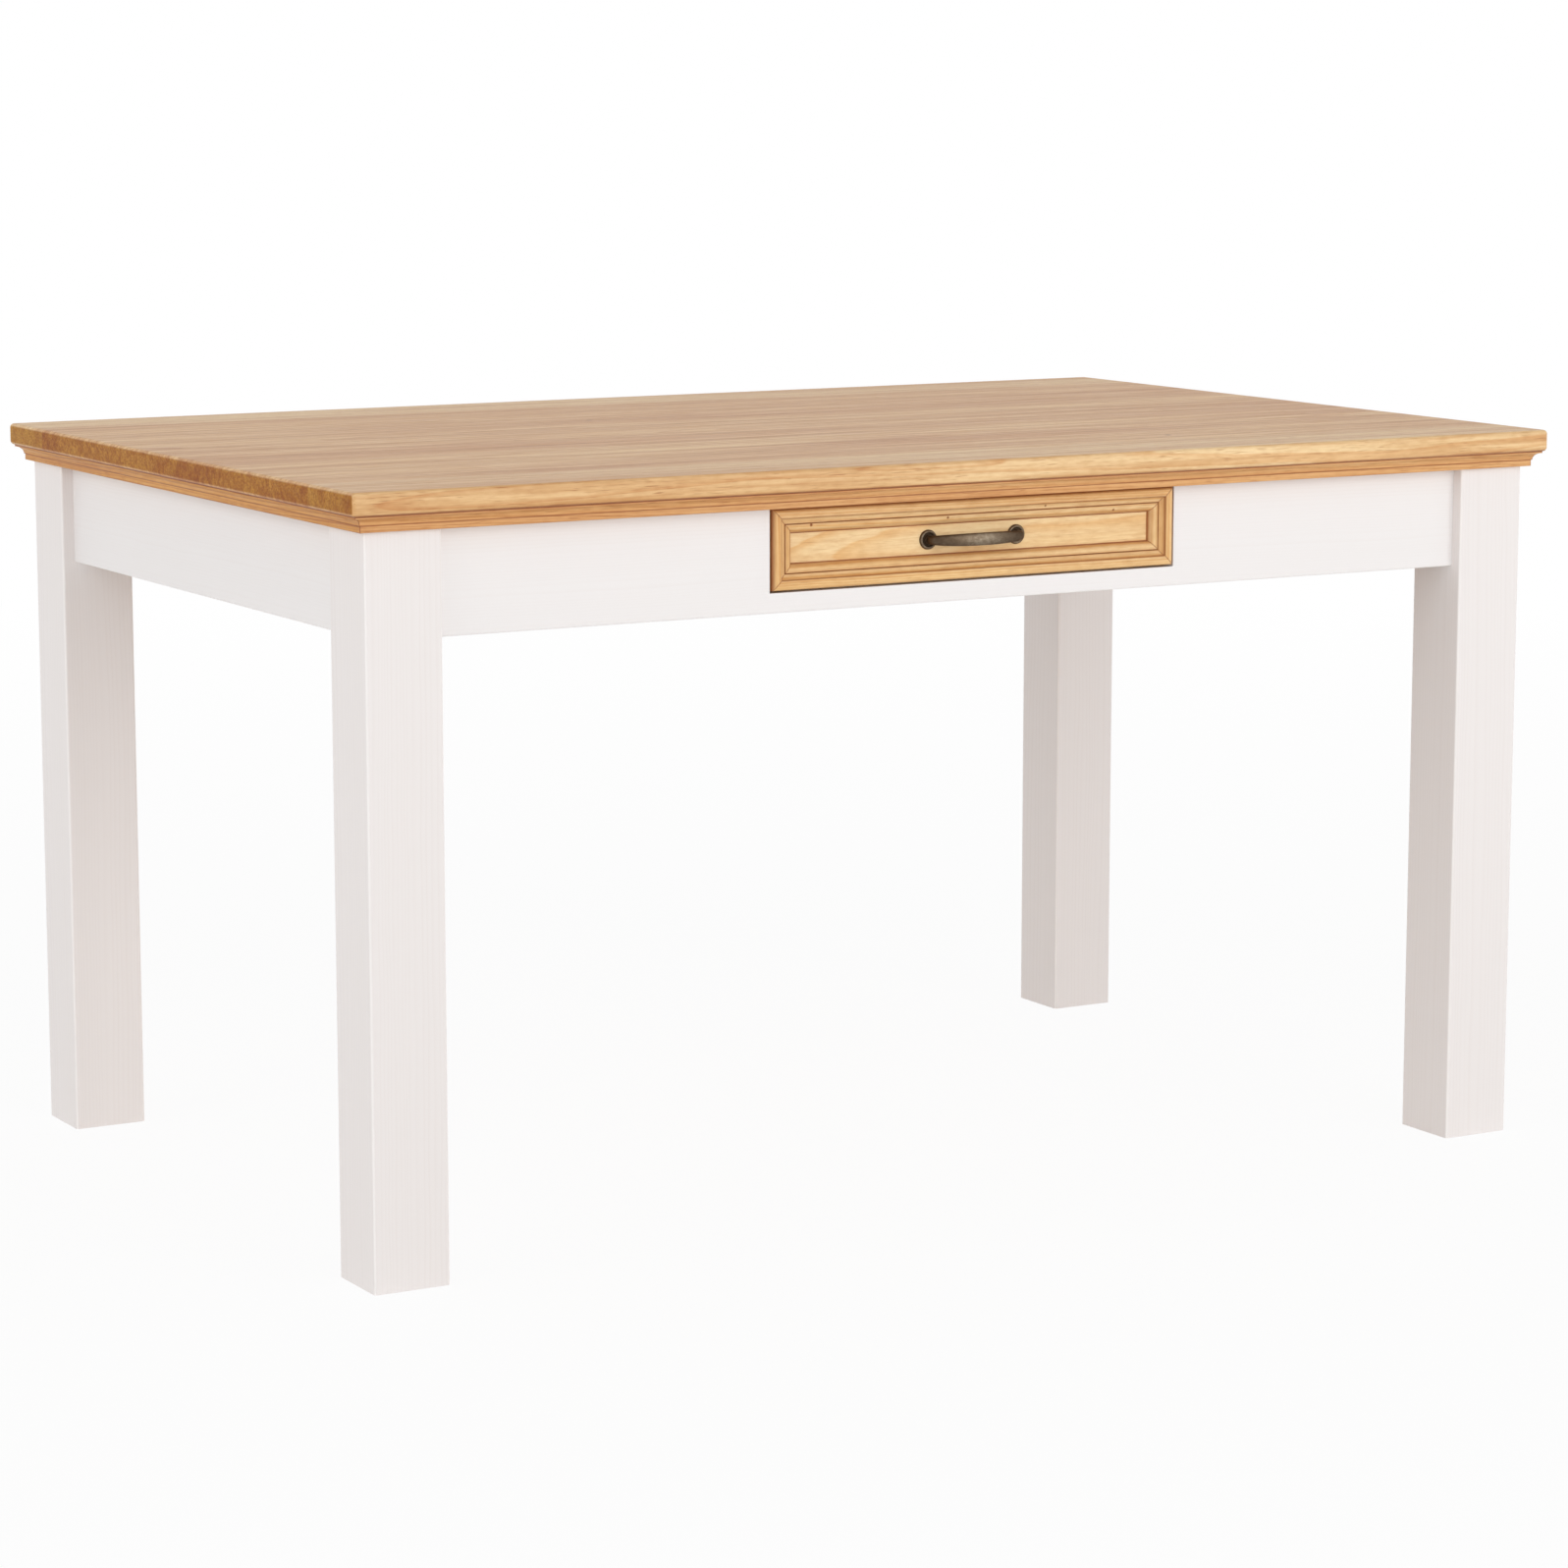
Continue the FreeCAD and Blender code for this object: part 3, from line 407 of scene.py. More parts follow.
def pine_finish(
    name, along, heart, palette, lean=0.015, ring_width=0.0034, drift=0.07,
    coat=0.06, rough=0.42, stain_and_shade=None, knot_list=(),
):
    """Pine with its own rings, dark lines of painted shade and of joints where given, and a film of lacquer
    where coat is over 0.
    """
    finish, tree, shader = new_finish(name)
    place = heart_place(tree, along, heart, lean)
    late, fibre, resin, tone = pine_figure(tree, place, ring_width, drift)
    end = end_grain_share(tree, along)
    late = times(tree, late, between(tree, end, 0.0, 1.0, 1.0, LATE_ON_END))
    pores = ramp(tree, cloud(tree, place, PORES, 3.0), [(0.35, 1), (0.6, 0)])
    mottle = blotches(tree, place, MOTTLE, 4.0, 0.4, 0.7)
    streaks = blotches(tree, place, STREAKS, 3.0, 0.4, 0.6)
    layers = [
        (ramp(tree, tone, [(0.35, 0), (0.65, 1)]), palette["slow"]),
        (times(tree, mottle, palette["mottle"]), MOTTLE_TINT),
        (times(tree, streaks, palette["streaks"]), STREAK_TINT),
        (times(tree, resin, palette["dashes"]), RESIN_TINT),
        (times(tree, fibre, FIBRE_SHARE), FIBRE_TINT),
        (end, END_GRAIN),
        (times(tree, end, pores), PORE_TINT),
    ]
    if knot_list:
        layers.append((knots(tree, knot_list), KNOT_TINT))
    # Dark lines in that brown: painted shade in grooves and under edges, and dark joints at the mitres.
    if stain_and_shade:
        layers.append((stain_and_shade(tree), STAIN_AND_SHADE))
    colour = tinted(tree, late, palette["early"], palette["late"])
    for share, tint in layers:
        colour = tinted(tree, share, colour, tint, "MULTIPLY")
    roughness = between(tree, fibre, 0.3, 0.7, rough - 0.06, rough + 0.1)
    relief = [(late, 0.5), (fibre, 0.4), (resin, -0.3)]
    surface(tree, shader, colour, roughness, relief, WOOD_RELIEF)
    shine = between(tree, end, 0.0, 1.0, SHINE_ON_FACE, SHINE_ON_END)
    tree.links.new(shine, shader.inputs["Specular IOR Level"])
    shader.inputs["Coat Roughness"].default_value = COAT_ROUGHNESS
    if coat:
        tree.links.new(between(tree, end, 0.0, 1.0, coat, 0.0), shader.inputs["Coat Weight"])
    return finish


def dress(name, finish):
    """Gives a piece of carpentry its finish."""
    for slot in nodes[name].material_slots:
        slot.material = finish


def middle_of(name):
    """The middle of a piece of carpentry."""
    low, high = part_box(name)
    return (low + high) / 2


# %% [markdown]
# ## Boards, mouldings and drawer front
# The sawmill deals out the boards: each comes from its own stretch of trunk and lies at its own distance
# from the heart. The two outer boards are sawn close to the heart, so the long edges of the top show wide,
# calm figure, and they are a little paler. One fixed seed keeps every draw the same on each run. A few
# knots, and pin knots on the drawer, stand at chosen places.

# %% The sawmill
sawmill = random.Random(11)
TRUNK = 9.0


def along_trunk(along):
    """A step along the grain, so that no two pieces show the same stretch of trunk."""
    return sawmill.uniform(-TRUNK, TRUNK) * Vector([float(axis == along) for axis in "XYZ"])


def level_lines(tree, node, marks):
    """Soft lines at heights above the foot of a piece, but not on its underside."""
    beside = between(tree, upward(tree), -0.99, -0.95, 0.0, 1.0)
    return times(tree, beside, lines(tree, measured(tree, "Z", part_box(node)[0].z), marks))


# %% Boards of the top
OUTER_HEARTS = {"top_board_1": (0.03, 0.004), "top_board_9": (-0.03, 0.004)}
# Painted shadow: a dark line along the lower edge of the slab.
BOARD_EDGE_SHADE = [(0.0, 0.0023, 1.0)]
TOP_KNOTS = {
    "top_board_5": [((-0.469, 0.0529, 0.770), 0.006)],
    "top_board_7": [((-0.134, 0.1704, 0.770), 0.005)],
    "top_board_2": [((0.31, -0.301, 0.770), 0.005)],
}


def board_edge_shade(tree):
    """A painted shadow line along the lower edge of the boards, above the moulding."""
    return level_lines(tree, "top_board_1", BOARD_EDGE_SHADE)


board_names = sorted(name for name in nodes if name.startswith("top_board"))
for name in board_names:
    sideways = sawmill.uniform(-0.045, 0.045)
    depth = sawmill.choice((-1, 1)) * sawmill.uniform(0.03, 0.085)
    sideways, depth = OUTER_HEARTS.get(name, (sideways, depth))
    finish = pine_finish(
        "lacquered_pine_" + name,
        "X",
        middle_of(name) + along_trunk("X") + Vector((0, sideways, depth)),
        PINE_OUTER if name in OUTER_HEARTS else PINE_TOP,
        lean=sawmill.uniform(-0.02, 0.02),
        ring_width=sawmill.uniform(0.0038, 0.0055),
        stain_and_shade=board_edge_shade,
        knot_list=TOP_KNOTS.get(name, ()),
    )
    dress(name, finish)
print("boards dressed:", len(board_names))

# %% Mouldings under the top
SIDES = (("front", "X", -1), ("back", "X", 1), ("left", "Y", -1), ("right", "Y", 1))
HEART_OUT, HEART_UP = 0.02, 0.16
MITRE = [(0.0, 0.0010, 0.9)]
# Painted shade: dark lines where the slab shades the top of the cove, at the foot and at the lowest edge.
MOULDING_GROOVE_SHADE = [(0.0160, 0.0015, 1.0), (0.0066, 0.0010, 0.8), (0.0, 0.0008, 0.4)]


def mitres(tree, node, along, inward):
    """Thin lines along the two mitres of a strip. Inward is the distance from its outer edge."""
    low, high = (corner["XYZ".index(along)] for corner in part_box(node))
    from_middle = calc(tree, "ABSOLUTE", measured(tree, along, (low + high) / 2))
    from_end = calc(tree, "SUBTRACT", (high - low) / 2, from_middle)
    return lines(tree, calc(tree, "SUBTRACT", from_end, inward), MITRE)


def moulding_shade_and_mitres(node, along, outward):
    """Painted shade lines where the cove meets the boards and its foot, and dark joint lines at the mitres.
    """
    across = "Y" if along == "X" else "X"
    outer_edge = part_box(node)[outward > 0]["XYZ".index(across)]

    def stain_and_shade(tree):
        inward = measured(tree, across, outer_edge, -outward)
        groove_shade = level_lines(tree, node, MOULDING_GROOVE_SHADE)
        return calc(tree, "MAXIMUM", groove_shade, mitres(tree, node, along, inward))

    return stain_and_shade


for side, along, outward in SIDES:
    node = "moulding_" + side
    out = Vector((0, outward, 0) if along == "X" else (outward, 0, 0))
    heart = middle_of(node) + out * HEART_OUT + Vector((0, 0, HEART_UP))
    finish = pine_finish(
        "lacquered_pine_" + node,
        along,
        heart + along_trunk("X") if along == "X" else heart,
        PINE_EDGE if along == "X" else PINE_SIDE_SHADED,
        ring_width=0.0026,
        drift=0.05,
        stain_and_shade=moulding_shade_and_mitres(node, along, outward),
    )
    dress(node, finish)
print("mouldings dressed:", len(SIDES))

# %% Drawer front: panel and mitred frame
# Painted shade: dark lines in the frame's grooves, each with a wider, softer band of shade beside it.
FRAME_GROOVE_SHADE = [(0.0100, 0.0014, 0.7), (0.0161, 0.0011, 0.9), (0.0254, 0.0015, 0.95)]
GROOVE_SHADES = [(0.0110, 0.0050, 0.15), (0.0161, 0.0036, 0.3), (0.0250, 0.0055, 0.38)]
EDGE_DEPTH = (0.004, 0.006)
STRIP_HEART = {"X": Vector((0, 0.03, 0.17)), "Z": Vector((0.17, 0.03, 0))}
PANEL_HEART = Vector((4.3, 0.07, -0.02))
# For each strip: its grain, the way across it, its outer end there, and the painted shadow line along that
# edge, strongest at the top under the moulding and on the left.
FRAME_SIDES = {
    "top": ("X", "Z", 1, (0.0, 0.0035, 1.0)),
    "bottom": ("X", "Z", 0, (0.0, 0.0014, 0.5)),
    "left": ("Z", "X", 0, (0.0, 0.0044, 0.9)),
    "right": ("Z", "X", 1, (0.0, 0.0018, 0.7)),
}
PIN_KNOTS = [
    ((-0.033, -0.4143, 0.7102), 0.0018),
    ((0.0824, -0.4151, 0.7165), 0.0016),
    ((0.1661, -0.4134, 0.7079), 0.0018),
    ((-0.1911, -0.4145, 0.7111), 0.0022),
]


def frame_shade_and_mitres(side):
    """Painted shade in the grooves and along the outer edge of one frame strip, and dark joint lines along
    its two mitres.
    """
    node = "drawer_frame_" + side
    along, across, end, painted_edge_shadow = FRAME_SIDES[side]
    outer_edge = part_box(node)[end]["XYZ".index(across)]

    def stain_and_shade(tree):
        inward = measured(tree, across, outer_edge, 1 - 2 * end)
        depth = measured(tree, "Y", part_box(node)[0].y)
        in_front = between(tree, depth, *EDGE_DEPTH, 1.0, 0.0)
        edge = times(tree, in_front, lines(tree, inward, [painted_edge_shadow]))
        groove_shade = calc(tree, "MAXIMUM", edge, lines(tree, inward, FRAME_GROOVE_SHADE + GROOVE_SHADES))
        return calc(tree, "MAXIMUM", groove_shade, mitres(tree, node, along, inward))

    return stain_and_shade


for side, (along, *_) in FRAME_SIDES.items():
    node = "drawer_frame_" + side
    finish = pine_finish(
        "drawer_pine_" + node,
        along,
        middle_of(node) + STRIP_HEART[along] + along_trunk(along),
        PINE_DRAWER,
        ring_width=0.0032,
        drift=0.03,
        stain_and_shade=frame_shade_and_mitres(side),
        knot_list=PIN_KNOTS if side == "top" else (),
    )
    dress(node, finish)
heart = middle_of("drawer_panel") + PANEL_HEART
panel_pine = pine_finish("drawer_pine_panel", "X", heart, PINE_DRAWER, ring_width=0.0042, drift=0.03)
dress("drawer_panel", panel_pine)
print("drawer front dressed: 1 panel and", len(FRAME_SIDES), "strips")

# %% [markdown]
# ## White glaze
# The base is pine under a thin white glaze. From a step away it is plain white; close up the brush and the
# grain leave faint straight lines, more relief than colour. The rings are made as on the top, but sawn to
# run straight, with hardly any contrast. The rounded edges, which carpenters call arrises, get a painted
# highlight, whiter than the faces, and that thin bright line is what separates white from white.

# %% White glaze
LEG_WHITE, APRON_WHITE = screen(240, 235, 233), screen(241, 238, 237)
WHITE_OVER_LATE_WOOD, WHITE_HIGHLIGHT_ON_ARRIS = screen(233, 226, 223), screen(252, 248, 246)
BRUSH_TINT, GLAZE_TINT = screen(244, 240, 236), screen(247, 245, 244)
LEG_GRAIN, APRON_GRAIN = 0.4, 0.2
GLAZE_RELIEF = 0.0002


def arris_share(tree):
    """1 where two faces round into each other, 0 on the faces."""
    sides = vector(tree, "ABSOLUTE", true_normal(tree))
    parts = step(tree, "ShaderNodeSeparateXYZ", {0: sides}).outputs
    largest = calc(tree, "MAXIMUM", parts["Z"], calc(tree, "MAXIMUM", parts["X"], parts["Y"]))
    return between(tree, largest, 0.75, 0.97, 1.0, 0.0)


def white_glaze(name, along, heart, white, grain):
    """White paint thin enough to show a breath of the grain, with a painted highlight on the arrises."""
    finish, tree, shader = new_finish(name)
    place = heart_place(tree, along, heart, lean=0.004)
    late, fibre, _, tone = pine_figure(tree, place, ring_width=0.0035, drift=0.02)
    colour = tinted(tree, times(tree, late, grain), white, WHITE_OVER_LATE_WOOD)
    brush = times(tree, fibre, grain * 0.4)
    colour = tinted(tree, brush, colour, BRUSH_TINT, "MULTIPLY")
    colour = tinted(tree, times(tree, tone, 0.3), colour, GLAZE_TINT, "MULTIPLY")
    # Painted highlight: the arrises are made whiter than the faces.
    colour = tinted(tree, arris_share(tree), colour, WHITE_HIGHLIGHT_ON_ARRIS)
    roughness = between(tree, fibre, 0.3, 0.7, 0.38, 0.5)
    surface(tree, shader, colour, roughness, [(late, 0.4), (fibre, 0.4)], grain * GLAZE_RELIEF)
    return finish


# %% Legs and aprons
LEG_HEART, APRON_HEART = Vector((0.19, 0.17, 0)), Vector((0, 0, 0.3))

leg_names = sorted(name for name in nodes if name.startswith("leg_"))
for name in leg_names:
    heart = middle_of(name) + LEG_HEART + along_trunk("Z")
    dress(name, white_glaze("white_glaze_" + name, "Z", heart, LEG_WHITE, LEG_GRAIN))
for side, along, _ in SIDES:
    node = "apron_" + side
    heart = middle_of(node) + along_trunk(along) + APRON_HEART
    dress(node, white_glaze("white_glaze_" + node, along, heart, APRON_WHITE, APRON_GRAIN))
print("white pieces:", len(leg_names), "legs and", len(SIDES), "aprons")

# %% [markdown]
# ## Timber that nobody sees
# Under the top, inside the drawer and behind the aprons the wood is planed pine without lacquer: the same
# rings, duller and paler. The drawer's bottom is plywood, whose layers show as stripes on its edges. The
# dowels are beech, with short dark flecks in place of streaks.

# %% Plain pine
GRAIN_OF = {
    "batten_": "Y", "kicker_": "Y", "runner_": "Y", "guide_": "Y", "stop_": "X",
    "drawer_side_": "Y", "drawer_back": "X", "drawer_catch": "X",
    "corner_block_front_left": "falling", "corner_block_back_right": "falling",
    "corner_block_front_right": "rising", "corner_block_back_left": "rising",
}
NOT_PINE = ("runner_dowels", "batten_screws", "guide_screws")

plain_pieces = 0
for start, along in GRAIN_OF.items():
    direction = TURN_TO_X[along].inverted() @ Vector((1, 0, 0))
    for name in sorted(nodes):
        if name.startswith(start) and name not in NOT_PINE:
            off_centre = [sawmill.uniform(-0.03, 0.03) for _ in "XY"] + [sawmill.uniform(0.05, 0.1)]
            shift = direction * sawmill.uniform(-TRUNK, TRUNK)
            heart = middle_of(name) + Vector(off_centre) + shift
            dress(name, pine_finish("plain_pine_" + name, along, heart, PINE_RAW, coat=0.0, rough=0.6))
            plain_pieces += 1
print("plain pine pieces:", plain_pieces)

# %% Plywood and beech
PLY_LIGHT, PLY_DARK, VENEER_TINT = screen(232, 208, 168), screen(196, 160, 116), screen(240, 226, 206)
PLY_COUNT = 5
BEECH, BEECH_FLECK = screen(222, 186, 146), screen(176, 128, 88)
FLECKS = (500.0, 500.0, 500.0)
PLAIN_RELIEF = 0.0001


def plywood(node):
    """Birch plywood: a calm face veneer, and layers turned crosswise that show on the edges."""
    finish, tree, shader = new_finish("birch_plywood")
    low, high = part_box(node)
    place = heart_place(tree, "X", middle_of(node) + Vector((0, 0, 0.4)), lean=0.02)
    late, fibre, _, tone = pine_figure(tree, place, ring_width=0.006, drift=0.2)
    layer = calc(tree, "DIVIDE", measured(tree, "Z", low.z), (high.z - low.z) / PLY_COUNT)
    crosswise = calc(tree, "GREATER_THAN", calc(tree, "FRACT", times(tree, layer, 0.5)), 0.5)
    upright = calc(tree, "LESS_THAN", calc(tree, "ABSOLUTE", upward(tree)), 0.5)
    colour = tinted(tree, times(tree, late, 0.3), PLY_LIGHT, PLY_DARK)
    colour = tinted(tree, times(tree, tone, 0.5), colour, VENEER_TINT, "MULTIPLY")
    colour = tinted(tree, times(tree, crosswise, upright), colour, PLY_DARK)
    roughness = between(tree, fibre, 0.3, 0.7, 0.5, 0.65)
    surface(tree, shader, colour, roughness, [(fibre, 0.5)], PLAIN_RELIEF)
    return finish


def beech():
    """Pale beech with its short dark flecks."""
    finish, tree, shader = new_finish("beech")
    flecks = blotches(tree, here(tree), FLECKS, 1.0, 0.58, 0.66)
    colour = tinted(tree, flecks, BEECH, BEECH_FLECK)
    roughness = between(tree, flecks, 0.0, 1.0, 0.55, 0.65)
    surface(tree, shader, colour, roughness, [(flecks, -0.5)], PLAIN_RELIEF)
    return finish


dress("drawer_bottom", plywood("drawer_bottom"))
dowel_wood = beech()
dowels = ("apron_dowels", "runner_dowels", "drawer_dowels")
for name in dowels:
    dress(name, dowel_wood)
print("plywood: 1 drawer bottom; beech:", ", ".join(dowels))

# %% [markdown]
# ## The handle
# The handle is cast brass with a dark antique finish: a bow that leaves its feet as a round rod and
# flattens into a strap, on two turned rosettes. Hands have rubbed the front of the bow, most of all in its
# middle, and the rims of the rosettes brighter; on the front and middle of the bow that lighter colour is
# also a painted highlight. A curve with a bevel keeps one section all along, so the bow is lofted instead.
# How far the metal is rubbed, with that painted highlight, is stored on the mesh as an attribute for the
# finish to read.

# %% Antique brass
# The rubbed colour serves both real wear and a painted highlight.
BRASS_DARK, BRASS_MIDDLE, BRASS_RUBBED_AND_LIT = screen(84, 69, 54), screen(106, 91, 75), screen(142, 129, 111)
CASTING, SCUFFS = (190.0, 260.0, 260.0), (500.0, 1800.0, 1800.0)


def antique_brass():
    """Brown brass, patchy, and brighter where the mesh marks rubbing and painted highlight."""
    finish, tree, shader = new_finish("antique_brass")
    patches = cloud(tree, here(tree), CASTING, 4.0)
    scuffs = cloud(tree, here(tree), SCUFFS, 2.0)
    rub_and_highlight = step(tree, "ShaderNodeAttribute", attribute_name="wear_and_highlight").outputs["Fac"]
    bright = calc(tree, "ADD", rub_and_highlight, between(tree, patches, 0.3, 0.7, -0.16, 0.16))
    bright = calc(tree, "ADD", bright, between(tree, scuffs, 0.3, 0.7, -0.1, 0.1))
    colour = tinted(tree, between(tree, bright, 0.0, 0.5, 0.0, 1.0), BRASS_DARK, BRASS_MIDDLE)
    colour = tinted(tree, between(tree, bright, 0.5, 1.0, 0.0, 1.0), colour, BRASS_RUBBED_AND_LIT)
    roughness = between(tree, bright, 0.0, 1.0, 0.52, 0.36)
    surface(tree, shader, colour, roughness, [(patches, 0.6), (scuffs, 0.4)], 0.00012)
    shader.inputs["Metallic"].default_value = 1.0
    return finish


brass = antique_brass()

# %% Rings become a skin, and a shape becomes a piece
def lofted(shape, rings):
    """Joins each ring of corners to the next, and closes the first and the last."""
    for ring, following in zip(rings, rings[1:]):
        for number, corner in enumerate(ring):
            after = (number + 1) % len(ring)
            shape.faces.new((corner, ring[after], following[after], following[number]))
    shape.faces.new(rings[0])
    shape.faces.new(rings[-1])


def new_piece(name, shape, finish, sharp_from):
    """Turns a worked shape into an object, smooth but for edges sharper than sharp_from degrees."""
    bmesh.ops.recalc_face_normals(shape, faces=shape.faces)
    mesh = bpy.data.meshes.new(name)
    shape.to_mesh(mesh)
    shape.free()
    mesh.materials.append(finish)
    mesh.shade_smooth()
    mesh.set_sharp_from_angle(angle=math.radians(sharp_from))
    print(name, "has", len(mesh.polygons), "faces")
    return new_object(name, mesh)


# %% Bow of the handle
BOW_HALF = 0.052
BOW_REACH = 0.015
BOW_POST, POST_SUNK = 0.0035, 0.0005
BOW_SECTIONS = 72
BOW_SIDES = 36
ROD = (0.0045, 0.0038)
STRAP = (0.0065, 0.0026)
STRAP_ONSET = 1.4
SQUARENESS = 2.5
# The bow's rubbed brass is partly a painted highlight: lighter in the middle and on the side that faces
# out.
WEAR_AT_FOOT, RUB_AND_HIGHLIGHT_IN_MIDDLE, RUB_AND_HIGHLIGHT_SPREAD = 0.08, 0.72, 6
WEAR_BEHIND, RUB_AND_HIGHLIGHT_IN_FRONT = 0.45, 0.55

rosettes_low, rosettes_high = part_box("handle_rosettes")
handle_middle = middle_of("handle_rosettes")
bow_root = rosettes_low.y - BOW_POST


def bow_section(turn):
    """At a turn of the bow: the middle of its section, the way out, its share of strap and its reach."""
    along = Vector((BOW_HALF * math.sin(turn), -BOW_REACH * math.cos(turn), 0)).normalized()
    middle = Vector((-BOW_HALF * math.cos(turn), bow_root - BOW_REACH * math.sin(turn), handle_middle.z))
    return middle, Vector((along.y, -along.x, 0)), math.sin(turn) ** STRAP_ONSET, math.sin(turn)


def rounded(value):
    """Pulls a circle's sine or cosine out towards a rectangle with round corners."""
    return math.copysign(abs(value) ** (2 / SQUARENESS), value)


sections = [bow_section(math.pi * number / BOW_SECTIONS) for number in range(BOW_SECTIONS + 1)]
post = Vector((0, BOW_POST + POST_SUNK, 0))
feet = [(middle + post, outward, 0.0, 0.0) for middle, outward, *_ in (sections[0], sections[-1])]

bow = bmesh.new()
wear_and_highlight = bow.verts.layers.float.new("wear_and_highlight")
rings = []
for middle, outward, strap, reach in [feet[0], *sections, feet[1]]:
    half_height, half_thickness = (rod + (flat - rod) * strap for rod, flat in zip(ROD, STRAP))
    rub_and_highlight = WEAR_AT_FOOT + RUB_AND_HIGHLIGHT_IN_MIDDLE * reach**RUB_AND_HIGHLIGHT_SPREAD
    ring = []
    for number in range(BOW_SIDES):
        angle = math.tau * number / BOW_SIDES
        out = rounded(math.cos(angle)) * half_thickness
        up = rounded(math.sin(angle)) * half_height
        corner = bow.verts.new(middle + outward * out + Vector((0, 0, up)))
        corner[wear_and_highlight] = rub_and_highlight * (WEAR_BEHIND + RUB_AND_HIGHLIGHT_IN_FRONT * max(0.0, math.cos(angle)))
        ring.append(corner)
    rings.append(ring)
lofted(bow, rings)
bow_piece = new_piece("bow_of_handle", bow, brass, sharp_from=50)
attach(bow_piece, "drawer")
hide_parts("handle_bow")

# %% Rosettes
# Radius and height in millimetres, and the share of rubbed brass and painted highlight.
ROSETTE_RIM = [(10.0, 0.0, 0.2), (10.0, 0.9, 0.3), (9.75, 1.7, 0.45), (9.25, 2.4, 0.6), (8.5, 2.8, 0.6)]
ROSETTE_HOLLOW = [(7.8, 2.8, 0.5), (7.1, 2.5, 0.3), (6.6, 1.9, 0.1), (6.2, 1.5, 0.0), (5.8, 1.4, 0.0)]
ROSETTE_COLLAR = [(5.5, 1.6, 0.05), (5.3, 2.4, 0.2), (5.1, 3.4, 0.3), (4.8, 4.0, 0.3)]
ROSETTE_SIDES = 56

rosettes = bmesh.new()
wear_and_highlight = rosettes.verts.layers.float.new("wear_and_highlight")
for side in (-1, 1):
    centre = Vector((side * BOW_HALF, rosettes_high.y, handle_middle.z))
    rings = []
    for radius, height, rub_and_highlight in ROSETTE_RIM + ROSETTE_HOLLOW + ROSETTE_COLLAR:
        ring = []
        for number in range(ROSETTE_SIDES):
            angle = math.tau * number / ROSETTE_SIDES
            place = Vector((radius * math.cos(angle), -height, radius * math.sin(angle))) / 1000
            corner = rosettes.verts.new(centre + place)
            corner[wear_and_highlight] = rub_and_highlight
            ring.append(corner)
        rings.append(ring)
    lofted(rosettes, rings)
rosette_piece = new_piece("rosettes_of_handle", rosettes, brass, sharp_from=50)
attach(rosette_piece, "drawer")
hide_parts("handle_rosettes")

# %% [markdown]
# ## Screws
# Forty-four screws hold the battens, angles, guides, drawer box and handle. They differ only in length, so
# one Geometry Nodes tree draws a screw from its sizes: a pan head with a cross cut into it, a thin core, a
# point, and a thread swept along a spiral. The tree runs once for every length, on points where the plain
# screws sit, and each point says which way its head looks. A screwdriver never leaves two crosses in line,
# so each screw is given its own turn, from a fixed seed.

# %% Zinc plating
ZINC, ZINC_DULL = screen(196, 199, 203), screen(150, 154, 160)
ZINC_CLOUDS, SCRATCHES = (160.0, 160.0, 160.0), (2200.0, 300.0, 700.0)


def zinc_plate():
    """Zinc-plated steel with dull clouds."""
    finish, tree, shader = new_finish("zinc_plate")
    clouds = cloud(tree, here(tree), ZINC_CLOUDS, 4.0)
    scratches = cloud(tree, here(tree), SCRATCHES, 2.0)
    colour = tinted(tree, ramp(tree, clouds, [(0.35, 0), (0.65, 1)]), ZINC, ZINC_DULL)
    roughness = between(tree, clouds, 0.3, 0.7, 0.28, 0.46)
    surface(tree, shader, colour, roughness, [(clouds, 0.4), (scratches, 0.6)], 0.00006)
    shader.inputs["Metallic"].default_value = 1.0
    return finish


zinc = zinc_plate()
dress("top_brackets", zinc)

# %% Where the screws are
HEAD_RADIUS, HEAD_HEIGHT = 0.004, 0.0024
RIM = 0.9 * HEAD_RADIUS
MERGED = 1e-6


def loose_parts(node):
    """The corner points of each separate solid in a piece."""
    shape = bmesh.new()
    shape.from_mesh(nodes[node].data)
    bmesh.ops.remove_doubles(shape, verts=shape.verts, dist=MERGED)
    seen = set()
    parts = []
    for start in shape.verts:
        waiting, part = [start], []
        while waiting:
            corner = waiting.pop()
            if corner not in seen:
                seen.add(corner)
                part.append(corner.co.copy())
                waiting.extend(edge.other_vert(corner) for edge in corner.link_edges)
        if part:
            parts.append(part)
    shape.free()
    return parts


def extent(part):
    """The lowest and highest corner of some points."""
    return [Vector([pick(values) for values in zip(*part)]) for pick in (min, max)]


def screw_seats(node):
    """For each screw of a piece: the length of its shank, its head's seat and the way its head looks."""
    seats = []
    for part in loose_parts(node):
        low, high = extent(part)
        middle, span = (low + high) / 2, high - low
        axis = max(range(3), key=lambda index: span[index])
        out = Vector((0, 0, 0))
        out[axis] = 1.0
        rim = [corner[axis] for corner in part if (corner - middle).cross(out).length > RIM]
        out = out if sum(rim) / len(rim) > middle[axis] else -out
        seat = middle + out * (span[axis] / 2 - HEAD_HEIGHT)
        seats.append((round(span[axis] - HEAD_HEIGHT, 4), seat, out))
    return seats


# %% Small steps for Geometry Nodes trees
CORE_SIDES = 16
THREAD_STEPS = 14
SPIN_SEED = 7


